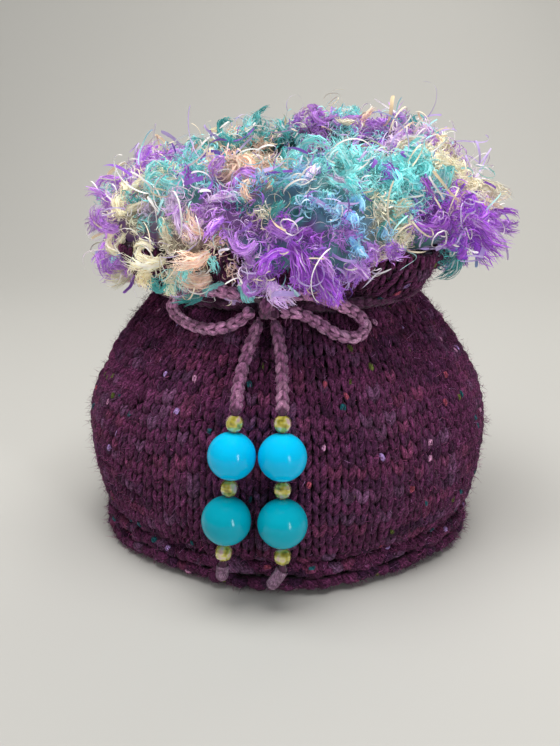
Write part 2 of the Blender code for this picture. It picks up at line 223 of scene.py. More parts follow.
# %% Sections of the body
Section = namedtuple("Section", "height radius pleat wave")
SECTIONS = [
    Section(0.0, 75.6, 0.0, 0.0),
    Section(5.5, 76.8, 0.0, 0.0),
    Section(11.0, 74.8, 0.0, 0.0),
    Section(14.5, 77.8, 0.0, 0.0),
    Section(22.0, 79.6, 0.0, 0.0),
    Section(34.0, 80.2, 0.0, 0.0),
    Section(48.0, 79.0, 0.0, 0.0),
    Section(60.0, 75.6, 0.0, 0.0),
    Section(70.0, 69.8, 0.3, 0.0),
    Section(79.0, 63.0, 0.9, 0.0),
    Section(86.0, 56.6, 1.7, 0.0),
    Section(91.5, 51.0, 2.6, 0.0),
    Section(96.0, 47.0, 3.0, 0.0),
    Section(99.5, 48.5, 2.4, 1.0),
    Section(104.0, 54.0, 1.2, 3.0),
    Section(110.0, 58.5, 0.6, 4.2),
    Section(117.0, 61.5, 0.3, 4.6),
]
HEM_HEIGHT = 11.0
COLLAR_TOP = 117.0
NECK_HEIGHT = 96.0
NECK_PLEATS = 18
COLLAR_WAVES = 11
HEM_WOBBLE = 1.2
HEM_WOBBLES = 6
Oval = namedtuple("Oval", "height narrower")
OVALS = [Oval(0.0, 4.2), Oval(11.0, 4.2), Oval(24.0, 2.6), Oval(40.0, 0.6), Oval(58.0, 0.0)]
WALL = 4.0
Lobe = namedtuple("Lobe", "degrees spread reach")
LOBES = [
    Lobe(47, 17, 9.0), Lobe(-50, 18, 5.5), Lobe(2, 12, 2.5), Lobe(100, 14, 4.0), Lobe(142, 16, 5.0),
    Lobe(180, 12, 3.5), Lobe(218, 16, 5.5), Lobe(262, 14, 4.0),
]
LOBE_LOW, LOBE_FULL = 97.7, 101.5
LOBE_DROOP = 0.4


def curve_through(heights, values):
    """A smooth curve through a table's rows, as a function of the height."""
    h, v = np.array(heights, float), np.array(values, float)
    slope = np.empty_like(v)
    slope[1:-1] = (v[2:] - v[:-2]) / (h[2:] - h[:-2])
    slope[0], slope[-1] = (v[1] - v[0]) / (h[1] - h[0]), (v[-1] - v[-2]) / (h[-1] - h[-2])

    def at(x):
        x = np.clip(x, h[0], h[-1])
        i = np.clip(np.searchsorted(h, x, side="right") - 1, 0, len(h) - 2)
        span = h[i + 1] - h[i]
        t = (x - h[i]) / span
        return (
            (2 * t**3 - 3 * t**2 + 1) * v[i]
            + (t**3 - 2 * t**2 + t) * span * slope[i]
            + (3 * t**2 - 2 * t**3) * v[i + 1]
            + (t**3 - t**2) * span * slope[i + 1]
        )

    return at


LEVELS = [section.height for section in SECTIONS]
radius_at = curve_through(LEVELS, [section.radius for section in SECTIONS])
pleat_at = curve_through(LEVELS, [section.pleat for section in SECTIONS])
wave_at = curve_through(LEVELS, [section.wave for section in SECTIONS])
oval_at = curve_through([row.height for row in OVALS], [row.narrower for row in OVALS])


def ease(share):
    """A share from 0 to 1 that starts and ends gently."""
    share = np.clip(share, 0.0, 1.0)
    return share * share * (3 - 2 * share)


def degrees_from(angle, centre):
    """How far an angle is from a centre in degrees, the short way round."""
    return (np.degrees(angle) - centre + 180) % 360 - 180


def bulge_at(angle, height):
    """How far the collar's bulges stand out over the drawn cord, in millimetres."""
    rise = ease((height - LOBE_LOW) / (LOBE_FULL - LOBE_LOW))
    out = 0.0
    for lobe in LOBES:
        out = out + lobe.reach * np.exp(-((degrees_from(angle, lobe.degrees) / lobe.spread) ** 2))
    return out * rise


def fold_at(angle, height):
    """How far the gathers, the folds, the hem's wobble and its oval move the cloth outwards."""
    gathers = pleat_at(height) * np.cos(NECK_PLEATS * angle + 0.5 * np.sin(2 * angle))
    folds = wave_at(height) * np.sin(COLLAR_WAVES * angle + 0.8 * np.sin(3 * angle))
    wobble = HEM_WOBBLE * (1 - ease(height / (3 * HEM_HEIGHT))) * np.cos(HEM_WOBBLES * angle)
    oval = oval_at(height) * np.sin(angle) ** 2
    return gathers + folds + wobble - oval + bulge_at(angle, height)


# %% Distance up the profile
profile_height = np.linspace(0, COLLAR_TOP, 900)
profile_radius = radius_at(profile_height)
steps = np.hypot(np.diff(profile_height), np.diff(profile_radius))
profile_length = np.concatenate([[0], np.cumsum(steps)])
print(f"The cloth is {profile_length[-1]:.0f} mm long from hem to collar")


def height_of(length):
    """The height at a distance up the profile."""
    return np.interp(length, profile_length, profile_height)


def length_of(height):
    """The distance up the profile at a height."""
    return np.interp(height, profile_height, profile_length)


def on_cloth(angle, length):
    """Points of the cloth's outside, in millimetres, with no thickness added."""
    height = height_of(length)
    radius = radius_at(height) + fold_at(angle, height)
    level = height - LOBE_DROOP * bulge_at(angle, height)
    return np.stack([radius * np.sin(angle), -radius * np.cos(angle), level], axis=-1)


def unit(vectors):
    return vectors / np.maximum(np.linalg.norm(vectors, axis=-1, keepdims=True), 1e-9)


def cloth_frame(angle, length):
    """The point of the cloth, and its outward normal there."""
    turn, step = 0.004, 0.4
    across = on_cloth(angle + turn, length) - on_cloth(angle - turn, length)
    low, high = np.maximum(length - step, 0), np.minimum(length + step, profile_length[-1])
    along = on_cloth(angle, high) - on_cloth(angle, low)
    return on_cloth(angle, length), unit(np.cross(across, along))


# %% [markdown]
# ## The side slits
# Each side seam is left unsewn for a stretch, which is wider at the left than
# at the right. The columns of stitches nearest to a slit are pushed aside, as
# knitting is where an open seam is spread.

# %% Where a column of stitches runs
Slit = namedtuple("Slit", "low high half_width")
LEFT_SLIT = Slit(40.0, 84.0, 14.0)
RIGHT_SLIT = Slit(28.0, 86.0, 11.0)
SEAM_HALF_GAP = 0.15
PUSHED_TURN = math.radians(60)


def slit_turn(slit, height):
    """The angle by which a slit pushes the cloth's edge aside at a height."""
    share = np.clip((height - slit.low) / (slit.high - slit.low), 0, 1)
    gap = np.maximum(SEAM_HALF_GAP, slit.half_width * np.sin(math.pi * share) ** 0.75)
    return np.arcsin(gap / (radius_at(height) - WALL))


def pushed(turn, length, middle):
    """The angle of cloth that lies at a turn from its panel's middle, beside any slit."""
    height = height_of(length)
    first, last = (LEFT_SLIT, RIGHT_SLIT) if math.cos(middle) > 0 else (RIGHT_SLIT, LEFT_SLIT)
    near_first = np.clip(1 - (turn + math.pi / 2) / PUSHED_TURN, 0, 1) ** 2
    near_last = np.clip(1 - (math.pi / 2 - turn) / PUSHED_TURN, 0, 1) ** 2
    return middle + turn + slit_turn(first, height) * near_first - slit_turn(last, height) * near_last


# %% [markdown]
# ## Strands
# All the yarn is laid from five small templates: two plump strands, for
# stitches and for flecks, and three flat strips, for fibres, hairs and
# ribbons. Each is modelled once with its length along Z from 0 to 1 and its
# half width as 1, and is then laid along many paths. A copy takes its
# direction from the path and its flat side from the surface below.

# %% Templates of the strands
def strand_template(name, sides, cuts, shrink):
    """A tube of unit length. Shrink gives the share of full width at each ring."""
    deselect()
    bpy.ops.mesh.primitive_cylinder_add(
        vertices=sides, radius=1, depth=1, end_fill_type="NOTHING", location=(0, 0, 0.5)
    )
    made = bpy.context.object
    made.name = name
    settle(made)
    bpy.ops.object.mode_set(mode="EDIT")
    for k in range(1, cuts + 1):
        bpy.ops.mesh.select_all(action="SELECT")
        bpy.ops.mesh.bisect(plane_co=(0, 0, k / (cuts + 1)), plane_no=(0, 0, 1))
    for k, share in enumerate(shrink):
        level = k / (cuts + 1)
        pick(made, "VERT", lambda v: abs(v.co.z - level) < 0.01)
        bpy.ops.transform.resize(value=(share, share, 1), center_override=(0, 0, level))
    bpy.ops.object.mode_set(mode="OBJECT")
    return made


def flat_template(name, cuts, shrink):
    """A flat strip of unit length, across X."""
    deselect()
    bpy.ops.mesh.primitive_grid_add(
        x_subdivisions=1, y_subdivisions=cuts + 1, size=1, location=(0, 0, 0)
    )
    made = bpy.context.object
    made.name = name
    settle(made)
    bpy.ops.object.mode_set(mode="EDIT")
    bpy.ops.mesh.select_all(action="SELECT")
    bpy.ops.transform.resize(value=(2, 1, 1), center_override=(0, 0, 0))
    for k, share in enumerate(shrink):
        level = k / (cuts + 1) - 0.5
        pick(made, "VERT", lambda v: abs(v.co.y - level) < 0.01)
        bpy.ops.transform.resize(value=(share, 1, 1), center_override=(0, level, 0))
    bpy.ops.mesh.select_all(action="SELECT")
    bpy.ops.transform.translate(value=(0, 0.5, 0))
    bpy.ops.object.mode_set(mode="OBJECT")
    made.data.transform(Matrix(((1, 0, 0, 0), (0, 0, 1, 0), (0, 1, 0, 0), (0, 0, 0, 1))))
    return made


Template = namedtuple("Template", "across out along quads turn shade")


def read_template(made, painted_shade=False):
    """A template's points and faces as arrays, with painted shade on its hidden underside and its ends."""
    points = np.array([v.co for v in made.data.vertices])
    quads = np.array([list(face.vertices) for face in made.data.polygons])
    corners = points[quads]
    turn = np.arctan2(corners[..., 1], corners[..., 0]) / (2 * math.pi) + 0.5
    wraps = turn.max(axis=1) - turn.min(axis=1) > 0.5
    turn[wraps] = np.where(turn[wraps] < 0.5, turn[wraps] + 1, turn[wraps])
    bpy.data.objects.remove(made, do_unlink=True)
    # Painted shade: the side that faces the cloth is darkened down to 0.15, and both ends, which tuck
    # under, down to a quarter.
    under = 0.15 + 0.85 * ease((points[:, 1] + 1) / 1.6)
    ends = 1 - 0.75 * np.abs(2 * points[:, 2] - 1) ** 3
    shade = under * ends if painted_shade else np.ones(len(points))
    return Template(points[:, 0], points[:, 1], points[:, 2], quads, turn, shade)


LEG = read_template(strand_template("leg", 6, 4, (0.5, 0.9, 1.0, 1.0, 0.9, 0.5)), painted_shade=True)
FLECK = read_template(strand_template("fleck", 6, 2, (0.15, 1.0, 1.0, 0.15)))
FIBRE = read_template(flat_template("fibre", 6, (0.7, 1.0, 1.0, 1.0, 1.0, 0.9, 0.7, 0.25)))
HAIR = read_template(flat_template("hair", 2, (1.0, 0.9, 0.6, 0.15)))
RIBBON = read_template(flat_template("ribbon", 13, (0.5, *[1] * 13, 0.6)))
for template in (LEG, FLECK, FIBRE, HAIR, RIBBON):
    print("template faces:", len(template.quads))


# %% Laying strands along paths
def lay(template, paths, normals, half_width, half_height, tone):
    """Copies of a template along paths, as arrays.

    Paths and normals are (strands, points, 3) in millimetres. The half width, half height
    and tone are one for each strand.
    """
    paths, normals = np.asarray(paths, float), np.asarray(normals, float)
    count, points = paths.shape[:2]
    at = np.clip(template.along, 0, 1) * (points - 1)
    low = np.clip(at.astype(int), 0, points - 2)
    share = (at - low)[None, :, None]
    middle = paths[:, low] * (1 - share) + paths[:, low + 1] * share
    tangent = np.gradient(paths, axis=1)
    tangent = unit(tangent[:, low] * (1 - share) + tangent[:, low + 1] * share)
    normal = normals[:, low] * (1 - share) + normals[:, low + 1] * share
    side = unit(np.cross(tangent, normal))
    up = np.cross(side, tangent)
    width = np.broadcast_to(half_width, (count,))[:, None, None]
    height = np.broadcast_to(half_height, (count,))[:, None, None]
    laid = middle + side * template.across[None, :, None] * width
    laid = laid + up * template.out[None, :, None] * height
    size = len(template.along)
    quads = template.quads[None] + (np.arange(count) * size)[:, None, None]
    lengths = np.linalg.norm(np.diff(paths, axis=1), axis=2).sum(axis=1)
    uv = np.empty((count, *template.quads.shape, 2))
    uv[..., 0] = template.along[template.quads][None] * lengths[:, None, None]
    uv[..., 0] += (np.arange(count) * 7.31 % 97)[:, None, None]
    uv[..., 1] = template.turn[None]
    tones = np.repeat(np.broadcast_to(tone, (count, 3)), size, axis=0)
    tones = tones * np.tile(template.shade, count)[:, None]
    return laid.reshape(-1, 3) * MM, quads.reshape(-1, 4), uv.reshape(-1, 2), tones


def gather(name, batches, finish):
    """One piece from several batches of laid strands."""
    start, points, quads, uvs, tones = 0, [], [], [], []
    for laid, faces, uv, tone in batches:
        points.append(laid)
        quads.append(faces + start)
        uvs.append(uv)
        tones.append(tone)
        start += len(laid)
    made = mesh_piece(name, np.vstack(points), np.vstack(quads), np.vstack(uvs), np.vstack(tones))
    dress(made, finish)
    print(f"{name}: {2 * len(made.data.polygons)} triangles")
    return made


def hairs_near(points, out, length, half, colours, spread=1.0):
    """Short tapering hairs that start at points, lie over and lift a little."""
    count = len(points)
    way = unit(rng.normal(0, 1, (count, 3)) * spread + out * 0.5)
    curl = rng.normal(0, 0.5, (count, 3))
    t = np.linspace(0, 1, 5)[None, :, None]
    far = rng.uniform(*length, count)[:, None, None]
    path = points[:, None] + way[:, None] * t * far + curl[:, None] * (t**2) * far * 0.5
    path[..., 2] = np.maximum(path[..., 2], 0.3)
    facing = np.broadcast_to(unit(out + rng.normal(0, 0.7, (count, 3)))[:, None], path.shape)
    return lay(HAIR, path, facing, half, half, colours)


# %% [markdown]
# ## Finishes
# Two effects are shared by several finishes, so each is a node group. The
# first draws the fibres of spun yarn: streaks along the strand that also turn
# round it. The second is a soft cloudy change of colour.

# %% Node group: fibres of spun yarn
def new_group(name, inputs, outputs):
    """An empty node group with its sockets, and its input and output nodes."""
    group = bpy.data.node_groups.new(name, "ShaderNodeTree")
    for label, kind, value in inputs:
        socket = group.interface.new_socket(label, in_out="INPUT", socket_type=kind)
        socket.default_value = value
    for label, kind in outputs:
        group.interface.new_socket(label, in_out="OUTPUT", socket_type=kind)
    start, end = group.nodes.new("NodeGroupInput"), group.nodes.new("NodeGroupOutput")
    return group, start, end


def add(tree, kind, **values):
    """A node with its plain settings and input values. Inputs are named with underscores."""
    node = tree.nodes.new(kind)
    for key, value in values.items():
        if hasattr(node, key):
            setattr(node, key, value)
        else:
            node.inputs[key.replace("_", " ").title()].default_value = value
    return node


def new_finish(name, values):
    """A material, its node tree and its shader, with the values of the shader's inputs."""
    made = bpy.data.materials.new(name)
    made.use_nodes = True
    shader = made.node_tree.nodes["Principled BSDF"]
    for label, value in values.items():
        shader.inputs[label].default_value = value
    return made, made.node_tree, shader


def fibre_group():
    group, start, end = new_group(
        "spun_fibres",
        [("Fineness", "NodeSocketFloat", 1.0), ("Twist", "NodeSocketFloat", 1.0)],
        [("Streak", "NodeSocketFloat"), ("Height", "NodeSocketFloat")],
    )
    link = group.links.new
    uv = add(group, "ShaderNodeUVMap", uv_map="yarn")
    split = add(group, "ShaderNodeSeparateXYZ")
    link(uv.outputs["UV"], split.inputs["Vector"])
    twist = add(group, "ShaderNodeMath", operation="MULTIPLY")
    link(split.outputs["X"], twist.inputs[0])
    link(start.outputs["Twist"], twist.inputs[1])
    around = add(group, "ShaderNodeMath", operation="MULTIPLY_ADD")
    around.inputs[1].default_value = 9.0
    link(split.outputs["Y"], around.inputs[0])
    link(twist.outputs[0], around.inputs[2])
    along = add(group, "ShaderNodeMath", operation="MULTIPLY")
    along.inputs[1].default_value = 0.22
    link(split.outputs["X"], along.inputs[0])
    joined = add(group, "ShaderNodeCombineXYZ")
    link(along.outputs[0], joined.inputs["X"])
    link(around.outputs[0], joined.inputs["Y"])
    fine = add(group, "ShaderNodeVectorMath", operation="SCALE")
    link(joined.outputs[0], fine.inputs[0])
    link(start.outputs["Fineness"], fine.inputs["Scale"])
    noise = add(group, "ShaderNodeTexNoise", scale=1.0, detail=3.0, roughness=0.65)
    link(fine.outputs[0], noise.inputs["Vector"])
    spread = add(group, "ShaderNodeMapRange")
    spread.inputs["From Min"].default_value, spread.inputs["From Max"].default_value = 0.3, 0.7
    link(noise.outputs["Fac"], spread.inputs["Value"])
    link(spread.outputs["Result"], end.inputs["Streak"])
    link(noise.outputs["Fac"], end.inputs["Height"])
    return group


FIBRES = fibre_group()


# %% Node group: cloudy colour
def cloud_group():
    group, start, end = new_group(
        "cloudy_colour",
        [
            ("Colour", "NodeSocketColor", (1, 1, 1, 1)),
            ("Scale", "NodeSocketFloat", 120.0),
            ("Darkest", "NodeSocketFloat", 0.6),
            ("Lightest", "NodeSocketFloat", 1.3),
        ],
        [("Colour", "NodeSocketColor"), ("Cloud", "NodeSocketFloat")],
    )
    link = group.links.new
    place = add(group, "ShaderNodeTexCoord")
    noise = add(group, "ShaderNodeTexNoise", detail=2.0)
    link(place.outputs["Object"], noise.inputs["Vector"])
    link(start.outputs["Scale"], noise.inputs["Scale"])
    spread = add(group, "ShaderNodeMapRange")
    spread.inputs["From Min"].default_value, spread.inputs["From Max"].default_value = 0.3, 0.7
    link(noise.outputs["Fac"], spread.inputs["Value"])
    link(start.outputs["Darkest"], spread.inputs["To Min"])
    link(start.outputs["Lightest"], spread.inputs["To Max"])
    scaled = add(group, "ShaderNodeVectorMath", operation="SCALE")
    link(start.outputs["Colour"], scaled.inputs[0])
    link(spread.outputs["Result"], scaled.inputs["Scale"])
    link(scaled.outputs[0], end.inputs["Colour"])
    link(noise.outputs["Fac"], end.inputs["Cloud"])
    return group


CLOUDS = cloud_group()


# %% [markdown]
# Wool scatters light at grazing angles, so every yarn has sheen and is rough.
# The tone of each strand is stored on its points, and the streaks darken and
# lighten it along the strand.

# %% Yarn finish
Yarn = namedtuple(
    "Yarn", "name fineness twist streak_low streak_high rough sheen bump mottle cloud_low cloud_high"
)
PLUM_WOOL = Yarn("plum_wool", 1.3, 0.8, 0.2, 2.4, 0.95, 0.06, 0.9, 1500.0, 0.4, 2.0)
CORD_WOOL = Yarn("cord_wool", 1.0, 1.2, 0.5, 1.5, 0.95, 0.2, 0.5, 900.0, 0.55, 1.5)
FANCY_YARN = Yarn("fancy_yarn", 0.8, 0.0, 0.75, 1.25, 0.6, 0.15, 0.1, 300.0, 0.8, 1.2)
SATIN_THREAD = Yarn("satin_thread", 0.6, 0.0, 0.9, 1.1, 0.3, 0.1, 0.05, 100.0, 0.95, 1.05)
# Painted light: the fancy yarn and the satin threads glow faintly in their own colour, in place of light
# shining through their fibres.
PAINTED_GLOW = {"fancy_yarn": 0.10, "satin_thread": 0.08}


def yarn_finish(yarn):
    """A yarn's finish: its tone, streaked along the strand and clouded, and for some yarns a faint painted
    glow.
    """
    made, tree, shader = new_finish(yarn.name, {
        "Roughness": yarn.rough, "Sheen Weight": yarn.sheen, "Sheen Roughness": 0.45,
        "Specular IOR Level": 0.5 if yarn.rough < 0.7 else 0.2,
    })
    link = tree.links.new
    tone = add(tree, "ShaderNodeAttribute", attribute_name="tone")
    fibres = add(tree, "ShaderNodeGroup", node_tree=FIBRES, fineness=yarn.fineness, twist=yarn.twist)
    spread = add(tree, "ShaderNodeMapRange", to_min=yarn.streak_low, to_max=yarn.streak_high)
    link(fibres.outputs["Streak"], spread.inputs["Value"])
    streaked = add(tree, "ShaderNodeVectorMath", operation="SCALE")
    link(tone.outputs["Color"], streaked.inputs[0])
    link(spread.outputs["Result"], streaked.inputs["Scale"])
    clouds = add(tree, "ShaderNodeGroup", node_tree=CLOUDS, scale=yarn.mottle,
                 darkest=yarn.cloud_low, lightest=yarn.cloud_high)
    link(streaked.outputs[0], clouds.inputs["Colour"])
    link(clouds.outputs["Colour"], shader.inputs["Base Color"])
    # Painted glow: the yarn's own colour is also emitted.
    if yarn.name in PAINTED_GLOW:
        link(clouds.outputs["Colour"], shader.inputs["Emission Color"])
        shader.inputs["Emission Strength"].default_value = PAINTED_GLOW[yarn.name]
    bump = add(tree, "ShaderNodeBump", strength=yarn.bump, distance=0.3 * MM)
    link(fibres.outputs["Height"], bump.inputs["Height"])
    link(bump.outputs["Normal"], shader.inputs["Normal"])
    return made


plum_wool = yarn_finish(PLUM_WOOL)
cord_wool = yarn_finish(CORD_WOOL)
fancy_yarn = yarn_finish(FANCY_YARN)
satin_thread = yarn_finish(SATIN_THREAD)


# %% [markdown]
# ## The floor
# A plain pale surface with a wall behind, joined by a curve, keeps the eye on
# the cosy.

# %% Floor and backdrop
def floor_finish():
    return new_finish("pale_floor", {"Base Color": (0.57, 0.565, 0.54, 1), "Roughness": 0.85})[0]


deselect()
bpy.ops.mesh.primitive_plane_add(size=1, location=(0, 0, -0.0002))
floor = bpy.context.object
floor.name = "floor"
settle(floor)
bpy.ops.object.mode_set(mode="EDIT")
bpy.ops.mesh.select_all(action="SELECT")
bpy.ops.transform.resize(value=(6, 4, 1), center_override=(0, 0, 0))
bpy.ops.transform.translate(value=(0, -1.0, 0))
pick(floor, "EDGE", lambda e: all(v.co.y > 0.9 for v in e.verts))
bpy.ops.mesh.extrude_region_move(TRANSFORM_OT_translate={"value": (0, 0.0, 3.0)})
pick(floor, "EDGE", lambda e: all(v.co.y > 0.9 and v.co.z < 0.1 for v in e.verts))
bpy.ops.mesh.bevel(offset=0.5, segments=12, affect="EDGES")
bpy.ops.object.mode_set(mode="OBJECT")
bpy.ops.object.shade_smooth()
floor.data.materials.append(floor_finish())
floor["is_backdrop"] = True

# %% [markdown]
# ## The knitted panels
# Under the stitches lies the cloth itself, one closed shell for each panel.
# From the outside it is painted dark, as the shade that fills the gaps between
# the strands. From below and through the slits it is the inside of the cosy,
# with the rows of small bumps that the back of stocking stitch has.

# %% Cloth shells
PANEL_COLUMNS = 51
ROW_HEIGHT = 4.3
CLOTH_DEPTH = 1.5
CLOTH_ROWS = 56
RIM_LOW, RIM_HIGH = 12, 8


def inside_finish():
    """The reverse of the knitting: rows of bumps, by the cloth's own UV map in stitches, with painted shade
    in the hollows between them.
    """
    made, tree, shader = new_finish(
        "knit_reverse", {"Roughness": 0.95, "Sheen Weight": 0.3, "Specular IOR Level": 0.2}
    )
    link = tree.links.new
    uv = add(tree, "ShaderNodeUVMap", uv_map="yarn")
    split = add(tree, "ShaderNodeSeparateXYZ")
    link(uv.outputs["UV"], split.inputs["Vector"])
    turns = {}
    for axis in ("X", "Y"):
        turns[axis] = add(tree, "ShaderNodeMath", operation="MULTIPLY")
        turns[axis].inputs[1].default_value = 2 * math.pi
        link(split.outputs[axis], turns[axis].inputs[0])
    wave = add(tree, "ShaderNodeMath", operation="SINE")
    link(turns["X"].outputs[0], wave.inputs[0])
    bend = add(tree, "ShaderNodeMath", operation="MULTIPLY_ADD")
    bend.inputs[1].default_value = 1.2
    link(wave.outputs[0], bend.inputs[0])
    link(turns["Y"].outputs[0], bend.inputs[2])
    rows = add(tree, "ShaderNodeMath", operation="SINE")
    link(bend.outputs[0], rows.inputs[0])
    # Painted shade and light: the wave that raises the bumps also darkens the colour to 0.35 in the hollows
    # and lightens it to 1.25 on the tops.
    spread = add(tree, "ShaderNodeMapRange", from_min=-1.0, to_min=0.35, to_max=1.25)
    link(rows.outputs[0], spread.inputs["Value"])
    tone = add(tree, "ShaderNodeAttribute", attribute_name="tone")
    shaded = add(tree, "ShaderNodeVectorMath", operation="SCALE")
    link(tone.outputs["Color"], shaded.inputs[0])
    link(spread.outputs["Result"], shaded.inputs["Scale"])
    clouds = add(tree, "ShaderNodeGroup", node_tree=CLOUDS, scale=400.0)
    link(shaded.outputs[0], clouds.inputs["Colour"])
    link(clouds.outputs["Colour"], shader.inputs["Base Color"])
    bump = add(tree, "ShaderNodeBump", strength=0.8, distance=1.2 * MM)
    link(rows.outputs[0], bump.inputs["Height"])
    link(bump.outputs["Normal"], shader.inputs["Normal"])
    return made


knit_reverse = inside_finish()
PLUM = np.array([0.095, 0.022, 0.062])
PAINTED_GAP_SHADE = 0.18


def cloth_shell(name, middle):
    """One panel's cloth: its outside just under the stitches, its inside and its rims."""
    columns, rows = 2 * PANEL_COLUMNS, CLOTH_ROWS
    turns = np.linspace(-math.pi / 2, math.pi / 2, columns + 1)
    lengths = np.linspace(0, profile_length[-1], rows + 1)
    turn, length = np.meshgrid(turns, lengths)
    angle = pushed(turn, length, middle)
    point, normal = cloth_frame(angle, length)
    level = ease(length / RIM_LOW) * ease((profile_length[-1] - length) / RIM_HIGH)
    flat = unit(normal * np.array([1, 1, 0]))
    normal = unit(normal * level[..., None] + flat * (1 - level[..., None]))
    sides = [point - normal * CLOTH_DEPTH, point - normal * (WALL - 0.2)]
    points = np.concatenate([side.reshape(-1, 3) for side in sides]) * MM
    wide, each = columns + 1, (columns + 1) * (rows + 1)
    row, column = np.meshgrid(np.arange(rows), np.arange(columns), indexing="ij")
    corner = (row * wide + column).ravel()
    outside = np.stack([corner, corner + 1, corner + 1 + wide, corner + wide], axis=1)
    inside = outside[:, ::-1] + each
    base, top = np.arange(columns), np.arange(columns) + rows * wide
    low_rim = np.stack([base, base + each, base + 1 + each, base + 1], axis=1)
    high_rim = np.stack([top, top + 1, top + 1 + each, top + each], axis=1)
    left, right = np.arange(rows) * wide, np.arange(rows) * wide + columns
    left_rim = np.stack([left, left + wide, left + wide + each, left + each], axis=1)
    right_rim = np.stack([right, right + each, right + wide + each, right + wide], axis=1)
    quads = np.concatenate([outside, inside, low_rim, high_rim, left_rim, right_rim])
    grid = np.stack([turn / math.pi * PANEL_COLUMNS, length / ROW_HEIGHT], axis=-1)
    grid = grid.reshape(-1, 2)
    uv = np.concatenate([grid, grid])[quads]
    # Painted shade: the outside is the plum yarn darkened to about a fifth, as shade between the stitches;
    # the inside keeps the yarn's own colour.
    tones = np.repeat(np.array([PLUM * PAINTED_GAP_SHADE, PLUM]), each, axis=0)
    made = mesh_piece(name, points, quads, uv, tones)
    dress(made, knit_reverse)
    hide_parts(name.replace("cloth", "panel"))
    return made


front_cloth = cloth_shell("front_cloth", 0.0)
back_cloth = cloth_shell("back_cloth", math.pi)

# %% [markdown]
# ## Stocking stitch
# Each stitch shows as a V: two plump legs that start together at the bottom,
# part as they rise, and dip under the next stitch. A leg is one laid strand.
# Hand knitting is never quite even, so the stitches vary a little in size,
# and whole rows and columns drift.

# %% Stitches of the panels
LEG_POINTS = 8
LEG_HALF_WIDTH = 1.16
CREASE = length_of(HEM_HEIGHT)
SMEAR = [0.15, 0.25, 0.3, 0.2, 0.1]
Tweed = namedtuple("Tweed", "colour share")
TWEED_SHADES = [
    Tweed((0.060, 0.0135, 0.042), 0.40),
    Tweed((0.076, 0.017, 0.052), 0.26),
    Tweed((0.034, 0.010, 0.031), 0.18),
    Tweed((0.115, 0.026, 0.062), 0.08),
    Tweed((0.100, 0.046, 0.096), 0.08),
]
FLECKS = [
    Tweed((0.24, 0.15, 0.34), 0.26),
    Tweed((0.38, 0.18, 0.30), 0.22),
    Tweed((0.008, 0.060, 0.075), 0.24),
    Tweed((0.070, 0.085, 0.020), 0.16),
    Tweed((0.24, 0.045, 0.075), 0.12),
]


def choose(table, count):
    """A colour for each of a number of strands, by the table's shares."""
    shares = np.array([row.share for row in table])
    picks = rng.choice(len(table), size=count, p=shares / shares.sum())
    colours = np.array([row.colour for row in table])[picks]
    return colours * rng.uniform(0.8, 1.2, (count, 1))


def drift(angle, length):
    """How far rows and columns wander, as a turn and a length."""
    turn = 0.010 * np.sin(3 * angle + length / 21) + 0.006 * np.sin(length / 8 + 7 * angle)
    rise = 0.7 * np.sin(5 * angle + length / 17) + 0.5 * np.sin(11 * angle)
    return turn, rise


def stitch_legs(middle):
    """Paths, normals and half widths of every leg of a panel."""
    rows = int((profile_length[-1] - CREASE - 1.0) / ROW_HEIGHT)
    column, row = np.meshgrid(np.arange(PANEL_COLUMNS), np.arange(rows))
    column, row = column.ravel(), row.ravel()
    count = len(column)
    wide = math.pi / PANEL_COLUMNS
    t = np.linspace(0, 1, LEG_POINTS)[None]
    size = rng.normal(1.0, 0.09, (count, 1))
    paths, normals, widths = [], [], []
    for side in (-1, 1):
        lean = rng.normal(0, 0.03, (count, 1))
        across = side * (0.12 + 0.24 * ease(t)) * size + lean * t
        up = -0.36 + 1.52 * t * size + rng.normal(0, 0.06, (count, 1))
        turn = -math.pi / 2 + (column[:, None] + 0.5 + across) * wide
        length = CREASE + 1.2 + (row[:, None] + 0.5 + up) * ROW_HEIGHT
        shift_turn, shift_rise = drift(turn + middle, length)
        edge = np.clip((math.pi / 2 - abs(turn)) / 0.3, 0, 1)
        turn = np.clip(turn + shift_turn * edge, -math.pi / 2 + 0.006, math.pi / 2 - 0.006)
        length = np.clip(length + shift_rise, CREASE, profile_length[-1] - 0.3)
        angle = pushed(turn, length, middle)
        point, normal = cloth_frame(angle, length)
        lift = -2.1 + 2.0 * np.sin(math.pi * np.clip(0.07 + 0.86 * t, 0, 1)) ** 0.7
        lift = lift + 0.6 * (1 - t) ** 2 + rng.normal(0, 0.2, (count, 1))
        paths.append(point + normal * lift[..., None])
        normals.append(normal)
        narrow = radius_at(height_of(length.mean(axis=1))) / 80
        widths.append(LEG_HALF_WIDTH * np.clip(narrow * 1.06, 0.78, 1.0) * size[:, 0])
    return np.concatenate(paths), np.concatenate(normals), np.concatenate(widths)


def shade_of_yarn(count):
    """A shade of the plum yarn for each of a number of strands."""
    return choose(TWEED_SHADES, count)


def shade_along_rows(count):
    """One colour for both legs of a stitch, which changes slowly along the yarn."""
    stitches = count // 2
    own = shade_of_yarn(stitches)
    spread = np.stack([np.convolve(own[:, k], SMEAR, "same") for k in range(3)], axis=1)
    both = 0.45 * own + 0.55 * spread
    return np.concatenate([both, both]) * rng.uniform(0.75, 1.3, (count, 1))


def add_stitches(name, middle):
    """A panel's stitches as one piece, and the paths that its flecks and hairs lie on."""
    paths, normals, widths = stitch_legs(middle)
    tones = shade_along_rows(len(paths))
    batches = [lay(LEG, paths, normals, widths, widths * 1.02, tones)]
    return gather(name, batches, plum_wool), paths, normals, widths


front_stitches, front_paths, front_normals, front_widths = add_stitches("front_stitches", 0.0)
back_stitches, back_paths, back_normals, back_widths = add_stitches("back_stitches", math.pi)

# %% [markdown]
# Tweed yarn is spun with small tufts of other colours. They show as short
# plump flecks on the legs of some stitches, in lilac, pink, teal, olive and
# red.

